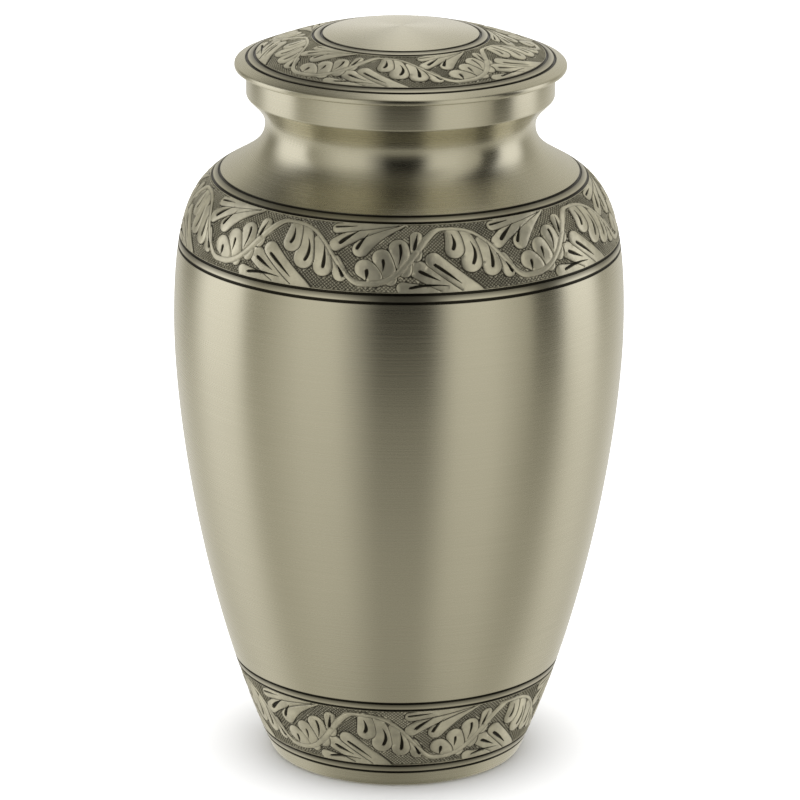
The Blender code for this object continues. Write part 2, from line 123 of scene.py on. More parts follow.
FOOT_RADIUS = 0.0451
FOOT_EDGE = 0.0014
FOOT_SLOPE = math.radians(65.5)
BELLY_RADIUS = body_high.x
BELLY_LEVEL = 0.1603
SHOULDER_RADIUS = 0.0627
SHOULDER_LEVEL = 0.2156
SHOULDER_SLOPE = math.radians(151.0)
NECK_RADIUS = 0.0475
NECK_LEVEL = 0.2320
COLLAR_RADIUS = 0.0541
COLLAR_LEVEL = 0.2424
COLLAR_SLOPE = math.radians(47.0)
COLLAR_TOP = body_high.z
COLLAR_EDGE = 0.0005
WALL = 0.0020
FLOOR_THICKNESS = 0.0025
UPRIGHT = math.radians(90.0)
LOWER_BODY_HANDLES = (0.36, 0.21)
SHOULDER_HANDLES = (0.69, 0.21)
UNDER_NECK_HANDLES = (0.50, 0.32)
NECK_FLARE_HANDLES = (0.38, 0.34)
CURVE_STEPS = 96

print("collar top at", round(COLLAR_TOP, 4), "and lid top at", round(lid_high.z, 4))

# %% Curves
def curve(start, start_angle, end, end_angle, handles):
    """Points of a Bezier curve that leaves and arrives at given angles, without its last point."""
    chord = math.dist(start, end)
    out = (start[0] + math.cos(start_angle) * handles[0] * chord,
           start[1] + math.sin(start_angle) * handles[0] * chord)
    back = (end[0] - math.cos(end_angle) * handles[1] * chord,
            end[1] - math.sin(end_angle) * handles[1] * chord)
    t = np.linspace(0.0, 1.0, CURVE_STEPS, endpoint=False)[:, None]
    weights = ((1 - t) ** 3, 3 * t * (1 - t) ** 2, 3 * t * t * (1 - t), t ** 3)
    return sum(w * np.array(p) for w, p in zip(weights, (start, out, back, end)))


def bent(start, pull, end, count):
    """Points from a start to an end, on a curve pulled towards a point between them."""
    t = np.linspace(0.0, 1.0, count)[:, None]
    return (1 - t) ** 2 * start + 2 * t * (1 - t) * pull + t * t * end


def runs_along(points):
    """Distance from the start of a line to each of its points."""
    return np.concatenate([[0.0], np.cumsum(np.linalg.norm(np.diff(points, axis=0), axis=1))])


def sunk(points, depth):
    """A line moved in from itself by a depth."""
    along = np.gradient(points, axis=0)
    along /= np.linalg.norm(along, axis=1)[:, None]
    return points + depth * np.stack([-along[:, 1], along[:, 0]], axis=1)


def body_outside():
    """The body's outside, from the underside's edge up to the collar's lower corner."""
    belly = (BELLY_RADIUS, BELLY_LEVEL)
    shoulder = (SHOULDER_RADIUS, SHOULDER_LEVEL)
    neck = (NECK_RADIUS, NECK_LEVEL)
    collar = (COLLAR_RADIUS, COLLAR_LEVEL)
    return np.concatenate([
        curve((FOOT_RADIUS, 0.0), FOOT_SLOPE, belly, UPRIGHT, LOWER_BODY_HANDLES),
        curve(belly, UPRIGHT, shoulder, SHOULDER_SLOPE, SHOULDER_HANDLES),
        curve(shoulder, SHOULDER_SLOPE, neck, UPRIGHT, UNDER_NECK_HANDLES),
        curve(neck, UPRIGHT, collar, COLLAR_SLOPE, NECK_FLARE_HANDLES),
        [collar]])


outside = body_outside()
print("outside line is", round(runs_along(outside)[-1], 4), "metres long")

# %% [markdown]
# ## The leaf scroll, drawn flat
#
# On the real urn an engraver works one motif round each band: a waving stem, a leaf of four
# lobes that hangs from its crest, a leaf of four that stands in its trough, and two fans of
# three pointed lobes that grow from the borders. The motif could be a picture or a mesh traced
# by hand. Here each stem, lobe and cut is a line with a width, which takes few numbers and
# gives the distance to every shape at any point. The drawing is measured in band heights.

# %% Drawing of one repeat
SCROLL_LENGTH = 2.235
STEM_LOW = (0.56, 0.115)
STEM_HIGH = (1.64, 0.915)
STEM_LATE_RISE = 1.5
STEM_EARLY_FALL = 1.6
STEM_HALF_WIDTH = 0.022
STEM_TROUGH_HALF_WIDTH = 0.036
STEM_BLADE_HALF_WIDTH = 0.045
STEM_BLADE_LATENESS = 3
LOBE_ROOT_HALF_WIDTH = 0.080

# Each lobe: root, middle of its round end, radius of that end, and sideways bend
HANGING_LOBES = [
    ((1.78, 0.87), (1.795, 0.600), 0.132, 0.06),
    ((1.95, 0.81), (2.008, 0.400), 0.142, 0.08),
    ((2.17, 0.68), (2.285, 0.312), 0.130, 0.08),
    ((2.43, 0.42), (2.530, 0.225), 0.095, 0.03),
]
STANDING_LOBES = [
    ((0.76, 0.16), (0.605, 0.330), 0.128, -0.14),
    ((0.94, 0.18), (0.822, 0.492), 0.122, -0.08),
    ((1.13, 0.30), (1.043, 0.630), 0.132, -0.05),
    ((1.27, 0.52), (1.285, 0.800), 0.086, -0.04),
]
TOP_LEAF_LOBES = [
    ((1.00, 1.06), (0.170, 0.900), 0.075, 0.00),
    ((1.04, 1.06), (0.190, 0.650), 0.096, -0.10),
    ((1.08, 1.04), (0.535, 0.605), 0.112, -0.14),
]
BOTTOM_LEAF_LOBES = [
    ((2.06, -0.02), (1.500, 0.455), 0.106, 0.02),
    ((1.95, -0.04), (1.272, 0.345), 0.120, 0.05),
    ((1.95, -0.04), (1.100, 0.070), 0.080, 0.03),
]

# Each cut stroke: thin end, middle, thick end, and half its greatest width
CUT_STROKES = [
    ((1.762, 0.860), (1.800, 0.711), (1.776, 0.600), 0.030),
    ((2.000, 0.735), (2.068, 0.551), (2.030, 0.380), 0.028),
    ((2.262, 0.663), (2.295, 0.470), (2.290, 0.310), 0.028),
    ((2.460, 0.390), (2.520, 0.290), (2.558, 0.205), 0.024),
    ((0.628, 0.160), (0.640, 0.230), (0.636, 0.310), 0.028),
    ((0.838, 0.264), (0.850, 0.370), (0.843, 0.463), 0.024),
    ((1.022, 0.328), (1.072, 0.520), (1.060, 0.679), 0.024),
    ((1.310, 0.880), (1.282, 0.750), (1.254, 0.620), 0.026),
    ((0.520, 0.960), (0.330, 0.940), (0.140, 0.915), 0.020),
    ((0.545, 0.915), (0.370, 0.790), (0.250, 0.680), 0.034),
    ((0.650, 0.870), (0.549, 0.727), (0.490, 0.612), 0.030),
    ((1.900, 0.068), (1.711, 0.232), (1.514, 0.388), 0.028),
    ((1.610, 0.144), (1.453, 0.226), (1.316, 0.300), 0.030),
    ((1.780, 0.068), (1.470, 0.104), (1.190, 0.068), 0.025),
]
print(len(CUT_STROKES), "cut strokes in each repeat of the scroll")

# %% Lines with widths
STEM_POINTS = 96
LOBE_POINTS = 14
STROKE_POINTS = 10
STROKE_THIN_END = 0.08
STROKE_SWELL = 0.62
STROKE_LATENESS = 1.3


def wave(x):
    """Height of the scroll's stem at places along the band."""
    x = (x - STEM_LOW[0]) % SCROLL_LENGTH + STEM_LOW[0]
    rising = np.clip((x - STEM_LOW[0]) / (STEM_HIGH[0] - STEM_LOW[0]), 0, 1) ** STEM_LATE_RISE
    end = STEM_LOW[0] + SCROLL_LENGTH
    falling = 1 - (1 - np.clip((end - x) / (end - STEM_HIGH[0]), 0, 1)) ** STEM_EARLY_FALL
    share = np.where(x < STEM_HIGH[0], rising, falling)
    return STEM_LOW[1] + (STEM_HIGH[1] - STEM_LOW[1]) * (1 - np.cos(np.pi * share)) / 2


def stem_line():
    """The stem over one repeat: points, and half widths that swell where it is like a blade."""
    x = STEM_LOW[0] + SCROLL_LENGTH * np.linspace(0.0, 1.0, STEM_POINTS + 1)
    rise = np.clip((x - STEM_LOW[0]) / (STEM_HIGH[0] - STEM_LOW[0]), 0, 1)
    blade = np.sin(np.pi * rise ** STEM_BLADE_LATENESS)
    trough = ((STEM_HIGH[1] - wave(x)) / (STEM_HIGH[1] - STEM_LOW[1])) ** 3
    half = STEM_HALF_WIDTH + (STEM_BLADE_HALF_WIDTH - STEM_HALF_WIDTH) * blade
    half += (STEM_TROUGH_HALF_WIDTH - STEM_HALF_WIDTH) * trough
    return np.stack([x, wave(x)], axis=1), half


def lobe_line(root, end, radius, bend):
    """A lobe's bent middle line, and half widths that grow to its round end."""
    root, end = np.array(root), np.array(end)
    along = end - root
    middle = root + along / 2 + bend * np.array([-along[1], along[0]])
    growth = np.sqrt(np.linspace(0.0, 1.0, LOBE_POINTS))
    half = LOBE_ROOT_HALF_WIDTH + (radius - LOBE_ROOT_HALF_WIDTH) * growth
    return bent(root, middle, end, LOBE_POINTS), half


def stroke_line(thin_end, middle, thick_end, half_width):
    """A cut stroke's line through its middle, and half widths that swell towards one end."""
    start, end = np.array(thin_end), np.array(thick_end)
    pull = 2 * np.array(middle) - (start + end) / 2
    share = np.linspace(0.0, 1.0, STROKE_POINTS)
    swell = np.sin(np.pi * STROKE_SWELL * share ** STROKE_LATENESS)
    half = half_width * (STROKE_THIN_END + (1 - STROKE_THIN_END) * swell)
    return bent(start, pull, end, STROKE_POINTS), half


def distance_to(points, line, half):
    """Distance from points to a line with widths. It is negative inside, and repeats along x."""
    nearest = np.full(len(points), np.inf)
    for a, b, half_a, half_b in zip(line, line[1:], half, half[1:]):
        centre = (a[0] + b[0]) / 2
        x = centre + (points[:, 0] - centre + SCROLL_LENGTH / 2) % SCROLL_LENGTH - SCROLL_LENGTH / 2
        along = b - a
        offset = np.stack([x - a[0], points[:, 1] - a[1]], axis=1)
        share = np.clip(offset @ along / (along @ along), 0, 1)
        gap = np.linalg.norm(offset - share[:, None] * along, axis=1)
        nearest = np.minimum(nearest, gap - (half_a + share * (half_b - half_a)))
    return nearest


LEAVES = HANGING_LOBES + STANDING_LOBES + TOP_LEAF_LOBES + BOTTOM_LEAF_LOBES
LAYERS = [stem_line()] + [lobe_line(*lobe) for lobe in LEAVES]
STROKES = [stroke_line(*stroke) for stroke in CUT_STROKES]
print(len(LAYERS), "raised shapes, the first ones lying over the later ones")

# %% [markdown]
# ## The relief's height
#
# An engraver cuts the ground down and cross-hatches it, so that it stays dark and makes the
# leaves stand out. Each lobe is rounded off towards its edge, is cut free of the lobe under it
# and has one deep stroke along its middle. The stem is cut only faintly, so it merges with the
# leaves that it crosses. Sculpting this by hand would take days. Since the distance to every
# shape is known, the height at any point follows from a few rules, laid on from the lowest shape
# to the highest, as the engraver would cut them.

# %% Rules of the relief
GROUND_DEPTH = 0.00058
HATCH_RISE = 0.00034
HATCH_LINES = 44
HATCH_SLOPE = 20.0
EDGE_DROP = 0.00016
ROUNDING = 0.030
CUT_FOOT = 0.0065
CUT_WIDTH = 0.018
CUT_DEPTH = 0.00026
STEM_CUT = 0.35
STROKE_DEPTH = 0.00048
STROKE_SLOPE = 0.010
ON_THE_EDGE = CUT_FOOT / 4

# Darkness of the patina, and of the painted shade at the leaves' edges, from 0 to 1
GROUND_PATINA = 0.84
HATCH_SHINE = 0.78
CUT_PATINA = 0.95
# Painted shade towards each leaf's edge, where it rounds down into the cut, with a little patina
LEAF_EDGE_SHADE_AND_PATINA = 0.25
BORDER_PATINA = 0.1
STROKE_DARKENING = 3


def hatch_rise(points):
    """How far up the little pyramids between the hatching cuts a point lies, from 0 to 1."""
    along = points[:, 0] * HATCH_LINES / SCROLL_LENGTH
    across = points[:, 1] * HATCH_SLOPE
    first = 1 - np.abs(2 * ((along + across) % 1) - 1)
    second = 1 - np.abs(2 * ((along - across) % 1) - 1)
    return np.minimum(first, second)


def border_gap(points):
    """Distance to the plain borders beside the band, negative on them."""
    return np.minimum(points[:, 1], 1 - points[:, 1])


def relief(points):
    """Height of the surface, and darkness of the patina and of the painted shade, at points of the
    drawing.
    """
    rise = hatch_rise(points)
    height = -GROUND_DEPTH + HATCH_RISE * rise
    patina = GROUND_PATINA - HATCH_SHINE * rise
    for line, half in reversed(LAYERS):
        gap = distance_to(points, line, half)
        cut = np.clip((CUT_WIDTH - gap) / (CUT_WIDTH - CUT_FOOT), 0, 1)
        if line is LAYERS[0][0]:
            cut = cut * STEM_CUT
        height = np.maximum(height - CUT_DEPTH * cut, -GROUND_DEPTH)
        patina = np.maximum(patina, CUT_PATINA * cut)
        edge = 1 - np.clip(-gap / ROUNDING, 0, 1)
        inside = gap < ON_THE_EDGE
        height = np.where(inside, -EDGE_DROP * edge ** 2, height)
        # Each leaf is darker towards its edge: painted shade where it rounds down into the cut,
        # with a little patina
        patina = np.where(inside, LEAF_EDGE_SHADE_AND_PATINA * edge ** 3, patina)
    for line, half in STROKES:
        sink = np.clip(-distance_to(points, line, half) / STROKE_SLOPE, 0, 1)
        height -= STROKE_DEPTH * sink
        patina = np.maximum(patina, np.clip(STROKE_DARKENING * sink, 0, 1))
    on_border = border_gap(points) < ON_THE_EDGE
    return np.where(on_border, 0.0, height), np.where(on_border, BORDER_PATINA, patina)


print("ground lies", GROUND_DEPTH * 1000, "mm below the leaves")

# %% [markdown]
# ## A mesh that follows the drawing
#
# A fine even grid would need millions of faces to keep the cuts sharp. Instead, points are laid
# only where the height changes: along each outline, round each stroke and on the hatching.
# Blender's own Delaunay triangulation joins them and keeps the given lines as edges. The
# drawing repeats, so one repeat is cut from a wider mesh at triangles, not along a straight
# line, and its copies then fit together without a seam.

# %% Chains of points along the shapes
CHAIN_STEP = 0.030
CAP_POINTS = 9
SETTLING_ROUNDS = 2
GRADIENT_STEP = 1e-4
ON_TARGET = CUT_FOOT / 3
BORDER_CLEARANCE = CUT_FOOT * 1.5
THINNEST_STROKE = 0.002


def side_points(line, half, grown):
    """The two sides of a line with widths, grown by a distance."""
    heading = np.gradient(line, axis=0)
    heading /= np.linalg.norm(heading, axis=1)[:, None]
    across = np.stack([-heading[:, 1], heading[:, 0]], axis=1) * (half + grown)[:, None]
    return line + across, line - across


def cap(centre, radius, start_angle):
    """A half circle of points."""
    angles = start_angle - np.linspace(0, np.pi, CAP_POINTS + 2)[1:-1]
    return centre + radius * np.stack([np.cos(angles), np.sin(angles)], axis=1)


def outline(line, half, grown):
    """A closed outline round a line with widths, grown by a distance."""
    left, right = side_points(line, half, grown)
    end = line[-1] - line[-2]
    start = line[1] - line[0]
    end_cap = cap(line[-1], half[-1] + grown, math.atan2(end[1], end[0]) + math.pi / 2)
    start_cap = cap(line[0], half[0] + grown, math.atan2(start[1], start[0]) - math.pi / 2)
    return np.concatenate([left, end_cap, right[::-1], start_cap, left[:1]])


def evenly(points, step):
    """The same line with points at even steps."""
    run = runs_along(points)
    count = max(2, round(run[-1] / step)) + 1
    places = np.linspace(0, run[-1], count)
    return np.stack([np.interp(places, run, points[:, axis]) for axis in (0, 1)], axis=1)


def settled(points, line, half, target):
    """Points moved square to a shape's outline until they lie at a distance from it."""
    for _ in range(SETTLING_ROUNDS):
        gap = distance_to(points, line, half)
        slope = np.stack([
            distance_to(points + step, line, half) - distance_to(points - step, line, half)
            for step in GRADIENT_STEP * np.eye(2)], axis=1)
        slope /= np.maximum(np.linalg.norm(slope, axis=1), 1e-12)[:, None]
        points = points - (gap - target)[:, None] * slope
    return points


def lowest_gap(points, shapes):
    """Distance to the nearest of several shapes, or infinity where there are none."""
    nearest = np.full(len(points), np.inf)
    for shape in shapes:
        nearest = np.minimum(nearest, distance_to(points, *shape))
    return nearest


def shape_chains():
    """Lines of points that the relief needs: each a pair of points and which of them are kept."""
    chains = []
    for index, (line, half) in enumerate(LAYERS):
        for offset in (0.0, CUT_FOOT, CUT_WIDTH, -ROUNDING / 2):
            is_stem = index == 0
            sides = side_points(line, half, offset) if is_stem else [outline(line, half, offset)]
            for side in sides:
                points = settled(evenly(side, CHAIN_STEP), line, half, offset)
                own = np.abs(distance_to(points, line, half) - offset) < ON_TARGET
                clearance = CUT_WIDTH if offset <= 0 else CUT_FOOT
                clear = lowest_gap(points, LAYERS[:index]) > clearance
                keep = own & clear & (border_gap(points) > BORDER_CLEARANCE)
                if offset == CUT_WIDTH:
                    keep &= lowest_gap(points, LAYERS[index + 1:]) < -CUT_FOOT
                chains.append((points, keep))
    for line, half in STROKES:
        for inset in (0.0, STROKE_SLOPE):
            inner_half = np.maximum(half - inset, THINNEST_STROKE)
            points = evenly(outline(line, inner_half, 0.0), CHAIN_STEP)
            chains.append((points, border_gap(points) > BORDER_CLEARANCE))
    return chains


chains = shape_chains()
print(len(chains), "chains with", sum(int(keep.sum()) for _, keep in chains), "points")

# %% Points and edges held once
CLOSEST = 0.0040


class FlatDrawing:
    """Points and edges of the repeating drawing, each point held once for the whole band."""

    def __init__(self):
        self.points = []
        self.edges = []
        self.cells = {}

    def cell(self, point):
        """The little square that a point lies in, so that its neighbours are quickly found."""
        return math.floor((point[0] % SCROLL_LENGTH) / CLOSEST), math.floor(point[1] / CLOSEST)

    def add(self, point):
        """Add a point and give its number, or that of one already there."""
        column, row = self.cell(point)
        for i in (-1, 0, 1):
            for j in (-1, 0, 1):
                for other in self.cells.get((column + i, row + j), ()):
                    across = self.points[other][0] - point[0]
                    across -= SCROLL_LENGTH * round(across / SCROLL_LENGTH)
                    if math.hypot(across, self.points[other][1] - point[1]) < CLOSEST:
                        return other
        self.points.append((float(point[0]), float(point[1])))
        self.cells.setdefault((column, row), []).append(len(self.points) - 1)
        return len(self.points) - 1

    def join(self, a, b):
        """Add an edge between two points, unless they are one."""
        if a != b:
            self.edges.append((a, b))

    def chain(self, points, keep):
        """Add a line of points, joined where neighbours are both kept."""
        numbers = [self.add(p) if kept else None for p, kept in zip(points, keep)]
        for a, b in zip(numbers, numbers[1:]):
            if a is not None and b is not None:
                self.join(a, b)


print("points closer than", CLOSEST, "of the band's height are one")

# %% Hatching, borders and fill
HATCH_CLEARANCE = CUT_FOOT * 1.6
FILL_STEP = 0.058
FILL_ROW_SHARE = 0.866
FILL_CLEARANCE = FILL_STEP * 0.55


def crossing(u, v):
    """Where two cuts of the hatching cross, given their numbers."""
    return (u + v) / 2 * SCROLL_LENGTH / HATCH_LINES, (u - v) / (2 * HATCH_SLOPE)


def add_hatching(drawing):
    """The crossing cuts of the ground as a lattice: its knots, its edges and its raised middles."""
    rows = math.ceil(2 * HATCH_SLOPE)
    knots = [(u, v) for u in range(HATCH_LINES + rows) for v in range(u - rows, u + 1)
             if 0 <= u + v < 2 * HATCH_LINES]
    middles = [crossing(u + 0.5, v + 0.5) for u, v in knots]
    spots = np.array([crossing(u, v) for u, v in knots] + middles)
    clear = np.minimum(lowest_gap(spots, LAYERS), border_gap(spots)) > HATCH_CLEARANCE
    numbers = {}
    for (u, v), spot, kept in zip(knots, spots, clear):
        if kept:
            numbers[(u, v)] = drawing.add(spot)
    for spot, kept in zip(spots[len(knots):], clear[len(knots):]):
        if kept:
            drawing.add(spot)
    for (u, v), number in numbers.items():
        for other in ((u + 1, v), (u, v + 1)):
            wrapped = (other[0] - HATCH_LINES, other[1] - HATCH_LINES)
            if other in numbers:
                drawing.join(number, numbers[other])
            elif wrapped in numbers:
                drawing.join(number, numbers[wrapped])


def add_borders(drawing):
    """The straight lines along both borders, and those at the foot of each."""
    steps = round(SCROLL_LENGTH / CHAIN_STEP)
    for level in (0.0, CUT_FOOT, 1 - CUT_FOOT, 1.0):
        line = np.array([(SCROLL_LENGTH * i / steps, level) for i in range(steps + 1)])
        keep = np.full(len(line), True)
        if level in (CUT_FOOT, 1 - CUT_FOOT):
            keep = lowest_gap(line, LAYERS) > CUT_FOOT
        drawing.chain(line, keep)


def add_fill(drawing):
    """Points inside the leaves, wherever no other point is near."""
    columns = round(SCROLL_LENGTH / FILL_STEP)
    rows = round(1 / (FILL_STEP * FILL_ROW_SHARE))
    spots = np.array([(SCROLL_LENGTH * (i + (j % 2) / 2) / columns, j / rows)
                      for j in range(1, rows) for i in range(columns)])
    spots = spots[lowest_gap(spots, LAYERS) < -CUT_FOOT]
    tree = KDTree(3 * len(drawing.points))
    for copy in (-1, 0, 1):
        for x, y in drawing.points:
            tree.insert((x % SCROLL_LENGTH + copy * SCROLL_LENGTH, y, 0), 0)
    tree.balance()
    for x, y in spots:
        if tree.find((x, y, 0))[2] > FILL_CLEARANCE:
            drawing.add((x, y))


print(2 * HATCH_LINES, "cuts hatch the ground of each repeat")

# %% The flat mesh of one repeat
COLUMNS = 240
BAND_MARGIN = 0.00012
JITTER = 2e-4
JITTER_WAVES = ((331.7, 977.1), (811.3, 523.9))
SAME_PLACE = 1e-7


def spread_out(drawing, margin, columns):
    """The drawing's points and edges over three repeats, with rows of points past both borders.

    A faint jitter keeps four points from ever lying on one circle, where triangles could fall
    either way."""
    base = np.array([(x % SCROLL_LENGTH, y) for x, y in drawing.points])
    waves = [base[:, 0] * across + base[:, 1] * up for across, up in JITTER_WAVES]
    base += JITTER * np.sin(np.stack(waves, axis=1))
    count = len(base)
    copies = (-1, 0, 1)
    points = [(x + copy * SCROLL_LENGTH, y) for copy in copies for x, y in base]
    edges = []
    for a, b in drawing.edges:
        wrap = round((base[a][0] - base[b][0]) / SCROLL_LENGTH)
        for copy in range(len(copies)):
            if 0 <= copy + wrap < len(copies):
                edges.append((a + copy * count, b + (copy + wrap) * count))
    for level in (-margin, 1 + margin):
        first = len(points)
        steps = columns * len(copies)
        points += [(SCROLL_LENGTH * (i / columns - 1), level) for i in range(steps + 1)]
        edges += [(first + i, first + i + 1) for i in range(steps)]
    return points, edges


def repeat_mesh(height, repeats):
    """Vertices, triangles, heights, and patina with painted shade, of one repeat of the relief."""
    margin = BAND_MARGIN / height
    drawing = FlatDrawing()
    for points, keep in chains:
        drawing.chain(points, keep)
    add_borders(drawing)
    add_hatching(drawing)
    add_fill(drawing)
    points, edges = spread_out(drawing, margin, COLUMNS // repeats)
    points = [Vector(p) for p in points]
    corners, _, faces, *_ = delaunay_2d_cdt(points, edges, [], 0, SAME_PLACE, False)
    corners, faces = np.array([tuple(c) for c in corners]), np.array(faces)
    middles = corners[faces].mean(axis=1)
    kept = faces[(middles[:, 0] >= 0) & (middles[:, 0] < SCROLL_LENGTH)]
    used, kept = np.unique(kept, return_inverse=True)
    corners, kept = corners[used], kept.reshape(-1, 3)
    depth, patina = relief(corners)
    return corners, kept, depth, patina


def carved_band(name, width, start_run, repeats, turn):
    """One repeat as a flat mesh, with how often it repeats and the turn at which it starts.

    In the mesh x is a share of the repeat, y a run up the outline and z the height."""
    height = width - 2 * BAND_MARGIN
    corners, faces, depth, patina = repeat_mesh(height, repeats)
    places = np.stack([corners[:, 0] / SCROLL_LENGTH,
                       start_run + BAND_MARGIN + corners[:, 1] * height, depth], axis=1)
    mesh = bpy.data.meshes.new(name)
    mesh.from_pydata(places.tolist(), [], faces.tolist())
    # Each point keeps its patina, with painted shade towards the leaves' edges
    mesh.attributes.new("patina", "FLOAT", "POINT").data.foreach_set("value", patina)
    mesh.attributes.new("carved", "FLOAT", "POINT").data.foreach_set("value", np.ones(len(patina)))
    print(name, "has", len(faces), "triangles in each repeat")
    return bpy.data.objects.new(name, mesh), repeats, turn


print("each band meets", COLUMNS, "columns round the urn")

# %% [markdown]
# ## Nodes written as sums
#
# Both the wrapping of the mesh and the finish of the metal are worked out by nodes. Nodes could
# be added and linked one by one, but the sums would be lost among the links. A small class that
# stands for a node's output lets them be written as ordinary expressions.

# %% A socket that takes part in sums
class Output:
    """An output of a node, which plain arithmetic turns into further Math nodes."""

    def __init__(self, nodes, socket):
        self.nodes = nodes
        self.socket = socket

    def __getitem__(self, name):
        """Another output of the same node."""
        return Output(self.nodes, self.socket.node.outputs[name])

    def _sum(self, operation, first, second):
        """A Math node that works on two values or outputs."""
        return self.nodes.add("ShaderNodeMath", {"operation": operation}, {0: first, 1: second})

    def __add__(self, other):
        return self._sum("ADD", self, other)

    def __radd__(self, other):
        return self._sum("ADD", other, self)

    def __sub__(self, other):
        return self._sum("SUBTRACT", self, other)

    def __rsub__(self, other):
        return self._sum("SUBTRACT", other, self)

    def __mul__(self, other):
        return self._sum("MULTIPLY", self, other)

    def __rmul__(self, other):
        return self._sum("MULTIPLY", other, self)

    def __rtruediv__(self, other):
        return self._sum("DIVIDE", other, self)


class Nodes:
    """A node tree with one way to add any node."""

    def __init__(self, tree):
        self.tree = tree

    def add(self, kind, settings=None, inputs=None, output=0):
        """Add a node: its settings are set first, and then its inputs are given or linked."""
        node = self.tree.nodes.new(kind)
        for name, value in (settings or {}).items():
            if name == "stops":
                self.set_stops(node.color_ramp, value)
            else:
                setattr(node, name, value)
        for name, value in (inputs or {}).items():
            if isinstance(value, Output):
                self.tree.links.new(value.socket, node.inputs[name])
            else:
                node.inputs[name].default_value = value
        return Output(self, node.outputs[output]) if node.outputs else node

    def set_stops(self, ramp, stops):
        """Give a colour ramp its stops, as pairs of place and colour."""
        while len(ramp.elements) > 1:
            ramp.elements.remove(ramp.elements[-1])
        for index, (place, colour) in enumerate(stops):
            element = ramp.elements[0] if index == 0 else ramp.elements.new(place)
            element.position = place
            element.color = (*colour, 1.0)


def mixed(nodes, share, first, second):
    """A first colour with a share of a second."""
    return nodes.add("ShaderNodeMix", {"data_type": "RGBA"}, {
        "Factor": share, "A": first, "B": second}, 2)


print("sums of nodes are ready")

# %% [markdown]
# ## Wrapping a flat sheet round the turned outline
#
# A lathe turns an outline into a vessel, and the engraver then works round it. In Blender a
# Screw modifier could turn the outline, but the carving would have to be laid on afterwards.
# One Geometry Nodes tree does both. It repeats the flat drawing of each band, joins the copies
# to the plain sheet, and bends the whole sheet round: x becomes the angle, y the place along
# the outline, and z the height off the surface.

# %% The wrapping tree
SEAM_DISTANCE = 1e-5


def wrapping_tree(name, band_count):
    """A tree that repeats flat drawings and wraps them with a plain sheet round an outline."""
    tree = bpy.data.node_groups.new(name, "GeometryNodeTree")
    tree.is_modifier = True
    sockets = tree.interface
    sockets.new_socket("Sheet", in_out="INPUT", socket_type="NodeSocketGeometry")
    sockets.new_socket("Outline", in_out="INPUT", socket_type="NodeSocketObject")
    sockets.new_socket("Metal", in_out="INPUT", socket_type="NodeSocketMaterial")
    bands = range(1, band_count + 1)
    for band in bands:
        sockets.new_socket(f"Drawing {band}", in_out="INPUT", socket_type="NodeSocketObject")
        sockets.new_socket(f"Repeats {band}", in_out="INPUT", socket_type="NodeSocketInt")
        sockets.new_socket(f"Turn {band}", in_out="INPUT", socket_type="NodeSocketFloat")
    sockets.new_socket("Piece", in_out="OUTPUT", socket_type="NodeSocketGeometry")
    nodes = Nodes(tree)
    given = nodes.add("NodeGroupInput")

    flat = nodes.add("GeometryNodeJoinGeometry")
    join = flat.socket.node.inputs[0]
    tree.links.new(given["Sheet"].socket, join)
    for band in bands:
        drawing = nodes.add("GeometryNodeObjectInfo", None, {"Object": given[f"Drawing {band}"]})
        share = 1 / given[f"Repeats {band}"]
        step = nodes.add("ShaderNodeCombineXYZ", None, {"X": share})
        first = nodes.add("ShaderNodeCombineXYZ", None, {"X": given[f"Turn {band}"]})
        row = nodes.add("GeometryNodeMeshLine", {"mode": "OFFSET"}, {
            "Count": given[f"Repeats {band}"], "Start Location": first, "Offset": step})
        size = nodes.add("ShaderNodeCombineXYZ", None, {"X": share, "Y": 1.0, "Z": 1.0})
        copies = nodes.add("GeometryNodeInstanceOnPoints", None,
                           {"Points": row, "Instance": drawing["Geometry"], "Scale": size})
        real = nodes.add("GeometryNodeRealizeInstances", None, {0: copies})
        tree.links.new(real.socket, join)

    outline_line = nodes.add("GeometryNodeObjectInfo", None, {"Object": given["Outline"]})
    place = nodes.add("GeometryNodeInputPosition")
    flat_place = nodes.add("ShaderNodeSeparateXYZ", None, {0: place})
    on_line = nodes.add("GeometryNodeSampleCurve", {"mode": "LENGTH"},
                        {"Curves": outline_line["Geometry"], "Length": flat_place["Y"]})
    point = nodes.add("ShaderNodeSeparateXYZ", None, {0: on_line["Position"]})
    along = nodes.add("ShaderNodeSeparateXYZ", None, {0: on_line["Tangent"]})
    height = flat_place["Z"]
    radius = point["X"] + height * along["Z"]
    level = point["Z"] - height * along["X"]
    angle = flat_place["X"] * (2 * math.pi)
    sine = nodes.add("ShaderNodeMath", {"operation": "SINE"}, {0: angle})
    cosine = nodes.add("ShaderNodeMath", {"operation": "COSINE"}, {0: angle})
    turned = nodes.add("ShaderNodeCombineXYZ", None,
                       {"X": radius * sine, "Y": -1 * (radius * cosine), "Z": level})
    noted = nodes.add("GeometryNodeStoreNamedAttribute", {"data_type": "FLOAT", "domain": "POINT"},
                      {"Geometry": flat, "Name": "run", "Value": flat_place["Y"]})
    wrapped = nodes.add("GeometryNodeSetPosition", None, {"Geometry": noted, "Position": turned})
    closed = nodes.add("GeometryNodeMergeByDistance", None,
                       {"Geometry": wrapped, "Distance": SEAM_DISTANCE})
    smooth = nodes.add("GeometryNodeSetShadeSmooth", None, {"Geometry": closed})
    dressed = nodes.add("GeometryNodeSetMaterial", None, {
        "Geometry": smooth, "Material": given["Metal"]})
    nodes.add("NodeGroupOutput", None, {"Piece": dressed})
    return tree


print("points within", SEAM_DISTANCE * 1000, "mm of each other are joined")

# %% [markdown]
# ## The plain sheet
#
# Between the bands the urn is plain turned metal, with a pair of thin dark grooves on either
# side of each band. The plain parts need rows only where the outline bends, so each stretch of
# the outline is a grid of its own, with rows where the maker asks for them. A groove takes four
# rows: edge, floor, floor and edge. A plain row close beside it ends its dark finish there.

